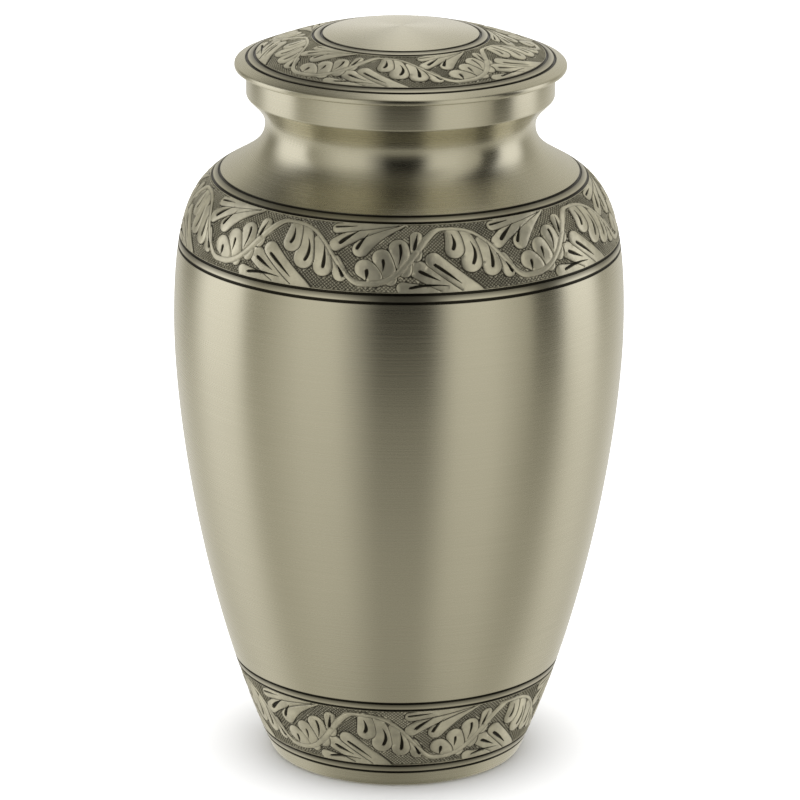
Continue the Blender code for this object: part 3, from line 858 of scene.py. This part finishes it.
# %% Rows along an outline
FILLET_WIDTH = 0.0030
GROOVE_WIDTH = 0.0010
GROOVE_FLOOR_SHARE = 0.7
GROOVE_DEPTH = 0.0005
GROOVE_BORDER = 0.0002
GROOVE_EDGE_PATINA = 0.7
HALF_PAIR = FILLET_WIDTH / 2 + GROOVE_WIDTH / 2
CLEAR_OF_PAIR = HALF_PAIR + GROOVE_BORDER


class Sheet:
    """A flat sheet of rows, each at a run along the outline, to be wrapped round the axis."""

    def __init__(self):
        self.points = []
        self.faces = []
        self.patina = []

    def stretch(self, rows, turn, twist=0.0):
        """Rows of (run, depth, patina), turned from the first to the last by a twist."""
        runs = [row[0] for row in rows]
        first = len(self.points)
        width = COLUMNS + 1
        for run, depth, patina in rows:
            shift = turn + twist * (run - runs[0]) / (runs[-1] - runs[0])
            self.points += [(i / COLUMNS + shift, run, -depth) for i in range(width)]
            self.patina += [patina] * width
        for row in range(len(rows) - 1):
            for i in range(COLUMNS):
                a = first + row * width + i
                self.faces.append((a, a + 1, a + 1 + width, a + width))

    def to_object(self, name):
        """The sheet as an object, still flat."""
        mesh = bpy.data.meshes.new(name)
        mesh.from_pydata(self.points, [], self.faces)
        mesh.attributes.new("patina", "FLOAT", "POINT").data.foreach_set("value", self.patina)
        mesh.attributes.new("carved", "FLOAT", "POINT")
        piece = bpy.data.objects.new(name, mesh)
        bpy.context.scene.collection.objects.link(piece)
        return piece


def plain_rows(start, end, step):
    """Rows at even steps, both ends included."""
    count = max(1, math.ceil((end - start) / step))
    return [(start + (end - start) * i / count, 0.0, 0.0) for i in range(count + 1)]


def groove_rows(middle):
    """Rows of a pair of grooves, with a plain row between the two."""
    rows = []
    half = GROOVE_WIDTH / 2
    floor = half * GROOVE_FLOOR_SHARE
    for centre in (middle - FILLET_WIDTH / 2, middle + FILLET_WIDTH / 2):
        rows += [(centre - half, 0.0, GROOVE_EDGE_PATINA), (centre - floor, GROOVE_DEPTH, 1.0),
                 (centre + floor, GROOVE_DEPTH, 1.0), (centre + half, 0.0, GROOVE_EDGE_PATINA),
                 (centre + half + GROOVE_BORDER, 0.0, 0.0)]
    return rows[:-1]


print("a pair of grooves takes", len(groove_rows(0.0)), "rows")

# %% Corners of an outline
ARC_STEPS = 5


def eased(corner, before, after, radius):
    """A small arc in place of a corner between two straight stretches."""
    corner, before, after = (np.array(p, float) for p in (corner, before, after))
    to_before = (before - corner) / np.linalg.norm(before - corner)
    to_after = (after - corner) / np.linalg.norm(after - corner)
    return bent(corner + radius * to_before, corner, corner + radius * to_after, ARC_STEPS + 1)


def outline_object(name, points):
    """An outline as a curve in the plane of x and z."""
    line = bpy.data.curves.new(name, "CURVE")
    line.dimensions = "3D"
    spline = line.splines.new("POLY")
    spline.points.add(len(points) - 1)
    for knot, (radius, level) in zip(spline.points, points):
        knot.co = (radius, 0.0, level, 1.0)
    return bpy.data.objects.new(name, line)


print("corners are eased in", ARC_STEPS, "steps")

# %% [markdown]
# ## The body
#
# The real body is one shell of sheet brass, open at the mouth, with a thickened collar that the
# lid sits on. Outside and inside could be two surfaces joined at the rim. Here the outline runs
# from the middle of the underside, up the outside, over the collar and down the inside to the
# middle of the floor, so that one wrapped sheet is the whole closed wall.

# %% The body's line
FOOT_BORDER = 0.0083
LOWER_BAND_WIDTH = 0.0250
LOWER_BAND_REPEATS = 6
LOWER_BAND_TURN = -59.3 / 360
SHOULDER_BORDER = 0.0026
UPPER_BAND_WIDTH = 0.0245
UPPER_BAND_REPEATS = 8
UPPER_BAND_TURN = -21.2 / 360
MOUTH_RADIUS = NECK_RADIUS - WALL
COLLAR_LEAD = 0.002
PAST_EDGE = 1.05
INSIDE_EVERY = 8


class TurnedLine:
    """An outline put together from stretches, with marks where it needs rows of faces."""

    def __init__(self):
        self.points = []
        self.marks = []

    def add(self, points, every=1):
        """Add points, marking each one or every few of them, or none where every is 0."""
        for index, point in enumerate(points):
            if every and index % every == 0:
                self.marks.append(len(self.points))
            self.points.append(tuple(point))

    def rows(self, first, last):
        """Plain rows at the marks from one point's number up to another's."""
        runs = runs_along(np.array(self.points))
        return [(runs[mark], 0.0, 0.0) for mark in self.marks if first <= mark < last]


def at_run(line, run):
    """The point of a line at a run."""
    runs = runs_along(line)
    return np.array([np.interp(run, runs, line[:, axis]) for axis in (0, 1)])


def body_line():
    """The whole outline, and the numbers of its first points outside and on the collar."""
    line = TurnedLine()
    runs = runs_along(outside)
    line.add([(0.0, 0.0), (FOOT_RADIUS / 2, 0.0)])
    line.add(eased((FOOT_RADIUS, 0.0), (0.0, 0.0), at_run(outside, FOOT_EDGE), FOOT_EDGE))
    first_outside = len(line.points)
    line.add(outside[(runs > FOOT_EDGE * PAST_EDGE) & (runs < runs[-1] - 2 * COLLAR_EDGE)], 0)
    first_collar = len(line.points)
    collar, collar_top = (COLLAR_RADIUS, COLLAR_LEVEL), (COLLAR_RADIUS, COLLAR_TOP)
    mouth, throat = (MOUTH_RADIUS, COLLAR_TOP), (MOUTH_RADIUS, NECK_LEVEL)
    line.add(eased(collar, at_run(outside, runs[-1] - COLLAR_LEAD), collar_top, COLLAR_EDGE))
    line.add(eased(collar_top, collar, mouth, COLLAR_EDGE))
    line.add(eased(mouth, collar_top, throat, COLLAR_EDGE))
    inner = sunk(outside, WALL)[::-1]
    inner = inner[(inner[:, 1] < NECK_LEVEL) & (inner[:, 1] > FLOOR_THICKNESS)]
    line.add([throat])
    line.add(inner, INSIDE_EVERY)
    line.add([(inner[-1][0], FLOOR_THICKNESS), (0.0, FLOOR_THICKNESS)])
    return line, first_outside, first_collar


body_outline, first_outside, first_collar = body_line()
print("the body's line has", len(body_outline.points), "points")

# %% The body's sheet
BELLY_STEP = 0.0045
SHOULDER_STEP = 0.0018


def band_run(band_middle, width):
    """Where a band starts and ends, from the middle of the groove pair below it."""
    start = band_middle + HALF_PAIR
    return start, start + width


def nearest_twist(start_turn, end_turn):
    """The least turn that brings the columns of one border in line with those of another."""
    column = 1 / COLUMNS
    return (end_turn - start_turn + column / 2) % column - column / 2


body_runs = runs_along(np.array(body_outline.points))
outside_runs = runs_along(outside)
shift = body_runs[first_outside] - np.interp(
    body_outline.points[first_outside][1], outside[:CURVE_STEPS, 1], outside_runs[:CURVE_STEPS])
shoulder_run = outside_runs[2 * CURVE_STEPS] + shift
lower_middle = FOOT_BORDER + shift
lower_start, lower_end = band_run(lower_middle, LOWER_BAND_WIDTH)
above_lower = lower_end + HALF_PAIR
upper_top = shoulder_run - SHOULDER_BORDER
upper_middle = upper_top - UPPER_BAND_WIDTH - 2 * HALF_PAIR
upper_start, _ = band_run(upper_middle, UPPER_BAND_WIDTH)

body_sheet = Sheet()
foot_rows = body_outline.rows(0, first_outside)
foot_rows += plain_rows(foot_rows[-1][0], lower_middle - CLEAR_OF_PAIR, SHOULDER_STEP)[1:]
body_sheet.stretch(foot_rows + groove_rows(lower_middle), LOWER_BAND_TURN)

belly_rows = plain_rows(above_lower + CLEAR_OF_PAIR, upper_middle - CLEAR_OF_PAIR, BELLY_STEP)
body_sheet.stretch(groove_rows(above_lower) + belly_rows + groove_rows(upper_middle),
                   LOWER_BAND_TURN, nearest_twist(LOWER_BAND_TURN, UPPER_BAND_TURN))

neck_rows = plain_rows(upper_top + CLEAR_OF_PAIR, body_runs[first_collar], SHOULDER_STEP)[:-1]
inner_rows = body_outline.rows(first_collar, len(body_outline.points))
body_sheet.stretch(groove_rows(upper_top) + neck_rows + inner_rows, UPPER_BAND_TURN)
print("plain sheet:", len(body_sheet.faces), "faces")

# %% Wrapping a piece
SHARP_ANGLE = math.radians(38)


def wrapped_piece(name, sheet, line, bands, metal):
    """Wrap a sheet and its bands round an outline, and keep the result as a plain mesh."""
    piece = sheet.to_object(name)
    tree = wrapping_tree(name + "_wrapping", len(bands))
    wrapping = piece.modifiers.new("wrapping", "NODES")
    wrapping.node_group = tree
    sockets = [item for item in tree.interface.items_tree if item.in_out == "INPUT"]
    given = {socket.name: socket.identifier for socket in sockets}
    guide = outline_object(name + "_outline", line.points)
    wrapping[given["Outline"]] = guide
    wrapping[given["Metal"]] = metal
    for index, (drawing, repeats, turn) in enumerate(bands, 1):
        wrapping[given[f"Drawing {index}"]] = drawing
        wrapping[given[f"Repeats {index}"]] = repeats
        wrapping[given[f"Turn {index}"]] = turn
    bpy.context.view_layer.update()
    evaluated = piece.evaluated_get(bpy.context.evaluated_depsgraph_get())
    mesh = bpy.data.meshes.new_from_object(evaluated)
    piece.modifiers.clear()
    piece.data = mesh
    mesh.name = name
    mesh.set_sharp_from_angle(angle=SHARP_ANGLE)
    for helper in [guide] + [drawing for drawing, _, _ in bands]:
        bpy.data.objects.remove(helper)
    return piece


def open_edges(mesh):
    """How many edges don't lie between exactly two faces."""
    edge_of_corner = np.zeros(len(mesh.loops), int)
    mesh.loops.foreach_get("edge_index", edge_of_corner)
    return int((np.bincount(edge_of_corner, minlength=len(mesh.edges)) != 2).sum())


def counts(mesh):
    """What a finished mesh has, in words."""
    triangles = sum(len(face.vertices) - 2 for face in mesh.polygons)
    return f"{triangles} triangles, {open_edges(mesh)} open edges"


print("edges sharper than", round(math.degrees(SHARP_ANGLE)), "degrees stay sharp")

# %% [markdown]
# ## The metal
#
# The urn is brass plated in a warm pewter colour and brushed on the lathe, so fine scratches run
# round it and every reflection is drawn out along the outline. The carved hollows hold a dark
# patina. A painted texture would have to be drawn; here the finish is worked out from where a
# point lies: its run along the outline makes the brushing, and the patina noted when the relief
# was made darkens the cuts, with a painted shade towards the leaves' edges. The leaves are
# unevenly tarnished and scatter a little of the light.

# %% Pewter-coloured brass
PEWTER = (0.60, 0.570, 0.440)
# Colour of the patina in the cuts, also used for the painted shade at the leaves' edges
PATINA_AND_SHADE = (0.034, 0.031, 0.022)
QUARTER_TURN = 0.25
BRUSHED_STRETCH = 0.80
BRUSH_LINES = 1500.0
BRUSH_AROUND = 9.0
CLOUD_SCALE = 22.0
MOTTLING_SCALE = 700.0
MOTTLING_HEIGHT = 3.5
TARNISH_SCALE = 170.0
TARNISH_SPREAD = 0.80
TARNISH_LOSS = 0.34
CARVED_SCATTER = 0.07

# Brightness and roughness of plain metal, and how much each effect adds to them
PLAIN_SHADE = 0.90
BRUSHING_SHADE = 0.12
CLOUD_SHADE = 0.08
PLAIN_ROUGHNESS = 0.23
BRUSHING_ROUGHNESS = 0.08
CARVED_ROUGHNESS = 0.16
PATINA_ROUGHNESS = 0.16
GRAIN_STRENGTH = 0.12
GRAIN_DISTANCE = 0.0002


def pewter(name):
    """Brushed pewter-coloured plating with dark patina in the cuts and painted shade at the leaves'
    edges.
    """
    metal = bpy.data.materials.new(name)
    metal.use_nodes = True
    nodes = Nodes(metal.node_tree)
    shader = metal.node_tree.nodes["Principled BSDF"]
    shader.inputs["Anisotropic"].default_value = BRUSHED_STRETCH
    shader.inputs["Anisotropic Rotation"].default_value = QUARTER_TURN
    place = nodes.add("ShaderNodeTexCoord", None, None, "Object")
    part = nodes.add("ShaderNodeSeparateXYZ", None, {0: place})
    run, patina, carved = (
        nodes.add("ShaderNodeAttribute", {"attribute_name": noted}, None, "Fac")
        for noted in ("run", "patina", "carved"))

    around = nodes.add("ShaderNodeCombineXYZ", None, {
        "X": part["X"] * BRUSH_AROUND, "Y": part["Y"] * BRUSH_AROUND, "Z": run * BRUSH_LINES})
    brushing = nodes.add("ShaderNodeTexNoise", None,
                         {"Vector": around, "Scale": 1.0, "Detail": 4.0, "Roughness": 0.65})
    mottling = nodes.add("ShaderNodeTexNoise", None, {
        "Vector": place, "Scale": MOTTLING_SCALE, "Detail": 3.0, "Roughness": 0.6})
    cloud, tarnish = (
        nodes.add("ShaderNodeTexNoise", None, {"Vector": place, "Scale": scale, "Detail": detail})
        for scale, detail in ((CLOUD_SCALE, 2.0), (TARNISH_SCALE, 3.0)))

    # Patina darkens the cuts, and painted shade darkens the leaves' edges
    patinated_and_shaded = mixed(nodes, patina, (*PEWTER, 1.0), (*PATINA_AND_SHADE, 1.0))
    shade = (PLAIN_SHADE + BRUSHING_SHADE * brushing + CLOUD_SHADE * cloud
             + carved * (TARNISH_SPREAD * tarnish - TARNISH_LOSS))
    colour = nodes.add("ShaderNodeVectorMath", {"operation": "SCALE"}, {0: patinated_and_shaded, "Scale": shade})
    roughness = (PLAIN_ROUGHNESS + BRUSHING_ROUGHNESS * brushing + CARVED_ROUGHNESS * carved
                 + PATINA_ROUGHNESS * patina)
    grain = brushing * (1 - carved) + mottling * carved * MOTTLING_HEIGHT
    bump = nodes.add("ShaderNodeBump", None, {
        "Strength": GRAIN_STRENGTH, "Distance": GRAIN_DISTANCE, "Height": grain})
    for name, value in (("Base Color", colour), ("Roughness", roughness),
                        ("Metallic", 1 - CARVED_SCATTER * carved), ("Normal", bump)):
        metal.node_tree.links.new(value.socket, shader.inputs[name])
    return metal


body_metal = pewter("brushed_body_metal")
lid_metal = pewter("brushed_lid_metal")
print("two finishes:", body_metal.name, lid_metal.name)

# %% [markdown]
# ## Putting the body together
#
# The engraver carves the bands once the body is turned, and only then is it plated and brushed.
# Bands could be laid on as pieces of their own, but that would leave seams along the grooves.
# Here the two drawings lie between the plain stretches and are wrapped together with them.

# %% Making the body
body_bands = [
    carved_band("lower_scroll", LOWER_BAND_WIDTH, lower_start, LOWER_BAND_REPEATS, LOWER_BAND_TURN),
    carved_band("upper_scroll", UPPER_BAND_WIDTH, upper_start, UPPER_BAND_REPEATS, UPPER_BAND_TURN),
]
urn_body = wrapped_piece("brushed_urn_body", body_sheet, body_outline, body_bands, body_metal)
print("body:", counts(urn_body.data))

# %% [markdown]
# ## The lid
#
# The lid is a shallow dome with a thin rim that overhangs the collar, a ring of the same scroll
# and a plain middle. Below it a plain ring goes down into the mouth and keeps it in place. It is
# made as the body is, with an outline that starts at the middle of its hollow underside.

# %% The lid's line
LID_GAP = 0.0003
LID_RIM_RADIUS = 0.0582
LID_RIM_THICKNESS = 0.0018
LID_RIM_SLOPE = math.radians(158.0)
LID_TOP_SLOPE = math.radians(180.0)
LID_HANDLES = (0.24, 0.46)
LID_WALL = 0.0020
LID_EDGE = 0.0007
LOCATING_RING_WALL = 0.0020
LOCATING_RING_CLEARANCE = 0.0005
LID_BORDER = 0.0061
LID_BAND_WIDTH = 0.0204
LID_BAND_REPEATS = 5
LID_BAND_TURN = -65.4 / 360
DOME_STEP = 0.0026
CLEAR_OF_AXIS = 0.001

lid_rim_level = COLLAR_TOP + LID_GAP
lid_rim = (LID_RIM_RADIUS, lid_rim_level + LID_RIM_THICKNESS)
lid_middle = (0.0, lid_high.z)
dome = np.concatenate([
    curve(lid_rim, LID_RIM_SLOPE, lid_middle, LID_TOP_SLOPE, LID_HANDLES), [lid_middle]])


def lid_line():
    """The lid's outline, and the number of its first point on the dome."""
    line = TurnedLine()
    runs = runs_along(dome)
    ring_outer = MOUTH_RADIUS - LOCATING_RING_CLEARANCE
    ring_inner = ring_outer - LOCATING_RING_WALL
    under = sunk(dome, LID_WALL)[::-1]
    under = under[(under[:, 0] > CLEAR_OF_AXIS) & (under[:, 0] < ring_inner)]
    line.add([(0.0, lid_high.z - LID_WALL)])
    line.add(under, INSIDE_EVERY)
    corners = [(ring_inner, under[-1][1]), (ring_inner, lid_low.z), (ring_outer, lid_low.z),
               (ring_outer, lid_rim_level), (LID_RIM_RADIUS, lid_rim_level), lid_rim]
    line.add([corners[0]])
    line.add(eased(corners[1], corners[0], corners[2], LID_EDGE))
    line.add(eased(corners[2], corners[1], corners[3], LID_EDGE))
    line.add([corners[3]])
    line.add(eased(corners[4], corners[3], corners[5], LID_EDGE))
    line.add(eased(corners[5], corners[4], at_run(dome, LID_EDGE), LID_EDGE))
    first_dome = len(line.points)
    line.add(dome[(runs > LID_EDGE * PAST_EDGE) & (runs < runs[-1])], 0)
    line.add([lid_middle])
    return line, first_dome


lid_outline, first_dome = lid_line()
lid_runs = runs_along(np.array(lid_outline.points))
lid_shift = lid_runs[-1] - runs_along(dome)[-1]
rim_middle = LID_BORDER + lid_shift
lid_start, lid_end = band_run(rim_middle, LID_BAND_WIDTH)
dome_middle = lid_end + HALF_PAIR

lid_sheet = Sheet()
rim_rows = lid_outline.rows(0, first_dome)
rim_rows += plain_rows(rim_rows[-1][0], rim_middle - CLEAR_OF_PAIR, DOME_STEP)[1:]
lid_sheet.stretch(rim_rows + groove_rows(rim_middle), LID_BAND_TURN)
dome_rows = plain_rows(dome_middle + CLEAR_OF_PAIR, lid_runs[-1], DOME_STEP)
lid_sheet.stretch(groove_rows(dome_middle) + dome_rows, LID_BAND_TURN)

lid_bands = [carved_band("lid_scroll", LID_BAND_WIDTH, lid_start, LID_BAND_REPEATS, LID_BAND_TURN)]
lid = wrapped_piece("brushed_lid", lid_sheet, lid_outline, lid_bands, lid_metal)
print("lid:", counts(lid.data))

# %% [markdown]
# ## The studio
#
# Polished metal shows what stands round it more than it shows its own colour. The photographer's
# tent was pale, with upright dark gaps beside the camera and a darker top, and the lamps made two
# bright patches at its sides. They show on the urn as upright bands. Panels could be built and
# lit, but a world that lists the light and dark areas at four heights, from below the urn to
# overhead, gives the same bands without noise. Only mirrored rays see them, so the floor stays
# plain and pale, and the urn doesn't mirror it, as the real one stood on a small table.

# %% Areas of the tent
# The light and dark areas of the tent at four heights. Each has its start and its end, in degrees
# of the compass from the camera's side towards +X, and its level of light.
LOW_AREAS = [
    (-180, -170, 1.0), (-140, -132, 0.8), (-114, -96, 1.1), (-82, -76, 0.5), (-52, -32, 0.8),
    (-12, 14, 0.15), (30, 52, 0.8), (73, 86, 0.3), (106, 118, 0.95), (136, 144, 0.8),
    (172, 180, 1.0),
]
LEVEL_AREAS = [
    (-180, -179, 1.1), (-174, -152, 0.6), (-140, -130, 0.3), (-114, -88, 1.2), (-82, -75, 0.4),
    (-50, -32, 0.8), (-11, 17, 0.0), (28, 46, 0.8), (66, 70, 0.55), (73, 88, 0.05), (95, 114, 1.2),
    (124, 129, 0.4), (150, 174, 0.65), (179, 180, 1.1),
]
HALF_WAY_AREAS = [
    (-180, -174, 0.9), (-162, -90, 0.1), (-56, -38, 0.45), (-13, 14, 0.05), (48, 62, 0.65),
    (79, 100, 0.0), (128, 152, 0.45), (174, 180, 0.9),
]
OVERHEAD_AREAS = [
    (-180, -176, 0.95), (-145, -55, 0.2), (-30, 15, 0.1), (52, 92, 0.55), (150, 180, 0.95),
]
TABLE_LEVEL = 0.58
UNDERSIDE_LEVEL = 0.20
print("areas level with the urn:", len(LEVEL_AREAS), "and overhead:", len(OVERHEAD_AREAS))

# %% World
BACKGROUND = (0.93, 0.93, 0.93)

# Where one height gives way to the next, in degrees above the horizon
LOW_TO_LEVEL = (-22, -8)
LEVEL_TO_HALF_WAY = (20, 49)
HALF_WAY_TO_OVERHEAD = (54, 72)
UNDERSIDE_TO_TABLE = (-72, -46)

# The table fades in between these heights of a direction, where -1 is straight down
TABLE_FADE = (-0.18, -0.88)

# Green and blue light as shares of the red, and how much each share grows at a level of 1
GREEN_LIGHT = (0.952, 0.03)
BLUE_LIGHT = (0.755, 0.20)
DEGREES = 180 / math.pi


def lit(level):
    """Colour of light of a level: the brighter, the less yellow."""
    return (level, *(level * (share + more * level) for share, more in (GREEN_LIGHT, BLUE_LIGHT)))


def ring(nodes, areas, place):
    """A colour ramp that is even over each area and runs softly from one to the next."""
    stops = [(degrees / 360 + 0.5, lit(level))
             for start, end, level in areas for degrees in (start, end)]
    share = nodes.add("ShaderNodeMapRange", None, {
        "Value": place, "From Min": -180, "From Max": 180})
    return nodes.add("ShaderNodeValToRGB", {"stops": stops}, {"Fac": share})


def blend(nodes, first, second, place, limits):
    """One colour turning into another as a place goes from one limit to the other."""
    share = nodes.add("ShaderNodeMapRange", {"interpolation_type": "SMOOTHSTEP"},
                      {"Value": place, "From Min": limits[0], "From Max": limits[1]})
    return mixed(nodes, share, first, second)


def studio_world():
    """Light and dark areas all round for the metal to mirror, and plain white for all else."""
    world = bpy.data.worlds.new("studio")
    world.use_nodes = True
    world.node_tree.nodes.clear()
    nodes = Nodes(world.node_tree)
    way = nodes.add("ShaderNodeTexCoord", None, None, "Generated")
    part = nodes.add("ShaderNodeSeparateXYZ", None, {0: way})
    climb = nodes.add("ShaderNodeMath", {"operation": "ARCSINE"}, {0: part["Z"]}) * DEGREES
    compass = nodes.add("ShaderNodeMath", {"operation": "ARCTAN2"}, {
        0: part["X"], 1: -1 * part["Y"]}) * DEGREES
    low, level, half_way, overhead = (
        ring(nodes, areas, compass)
        for areas in (LOW_AREAS, LEVEL_AREAS, HALF_WAY_AREAS, OVERHEAD_AREAS))
    level = blend(nodes, low, level, climb, LOW_TO_LEVEL)
    lower = blend(nodes, level, half_way, climb, LEVEL_TO_HALF_WAY)
    tent = blend(nodes, lower, overhead, climb, HALF_WAY_TO_OVERHEAD)
    underside, top = (*lit(UNDERSIDE_LEVEL), 1.0), (*lit(TABLE_LEVEL), 1.0)
    table = blend(nodes, underside, top, climb, UNDERSIDE_TO_TABLE)
    below = nodes.add("ShaderNodeMapRange", None, {
        "Value": part["Z"], "From Min": TABLE_FADE[0], "From Max": TABLE_FADE[1]})
    ray = nodes.add("ShaderNodeLightPath")
    seen = mixed(nodes, ray["Is Glossy Ray"], (*BACKGROUND, 1.0), mixed(nodes, below, tent, table))
    light = nodes.add("ShaderNodeBackground", None, {"Color": seen, "Strength": 1.0})
    nodes.add("ShaderNodeOutputWorld", None, {"Surface": light})
    return world


bpy.context.scene.world = studio_world()
print("world:", bpy.context.scene.world.name)

# %% [markdown]
# ## The floor and the light
#
# The photograph shows no floor, only white. The white could be left to the world, but then the
# urn would float. A wide pale floor and one large soft light above it give a faint shadow to
# stand on. The metal mirrors neither of them, so its bands stay as the tent makes them.

# %% Floor and overhead light
FLOOR_SIZE = 8.0
FLOOR_DROP = 0.0002
FLOOR_COLOUR = (0.86, 0.86, 0.86)
FLOOR_ROUGHNESS = 0.9
LIGHT_SIZE = 2.4
LIGHT_LEVEL = 2.6
LIGHT_POWER = 95.0


def floor_plane():
    """A wide pale floor just under the urn."""
    half = FLOOR_SIZE / 2
    mesh = bpy.data.meshes.new("floor")
    corners = [(-half, -half), (half, -half), (half, half), (-half, half)]
    mesh.from_pydata([(x, y, -FLOOR_DROP) for x, y in corners], [], [(0, 1, 2, 3)])
    floor = bpy.data.objects.new("floor", mesh)
    paint = bpy.data.materials.new("pale_floor")
    paint.use_nodes = True
    shader = paint.node_tree.nodes["Principled BSDF"]
    shader.inputs["Base Color"].default_value = (*FLOOR_COLOUR, 1.0)
    shader.inputs["Roughness"].default_value = FLOOR_ROUGHNESS
    shader.inputs["Specular IOR Level"].default_value = 0.0
    mesh.materials.append(paint)
    floor.visible_glossy = False
    bpy.context.scene.collection.objects.link(floor)
    return floor


def overhead_light():
    """A large soft light above, which the polished metal doesn't mirror."""
    lamp = bpy.data.lights.new("overhead", "AREA")
    lamp.shape = "DISK"
    lamp.size = LIGHT_SIZE
    lamp.energy = LIGHT_POWER
    light = bpy.data.objects.new("overhead", lamp)
    light.location = (0.0, 0.0, LIGHT_LEVEL)
    light.visible_glossy = False
    bpy.context.scene.collection.objects.link(light)
    return light


floor = floor_plane()
overhead_light()
bpy.context.scene.view_settings.view_transform = "Standard"
print("floor is", FLOOR_SIZE, "metres wide")

# %% [markdown]
# ## Fixing the pieces to the frame
#
# Each finished piece stands for one solid of the frame, which is then hidden. The lid only rests
# on the collar, so both belong to one body.

# %% Finish
for piece, node, slot in ((urn_body, "urn_body", "pewter_body"), (lid, "lid", "pewter_lid")):
    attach(piece, "root")
    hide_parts(node)
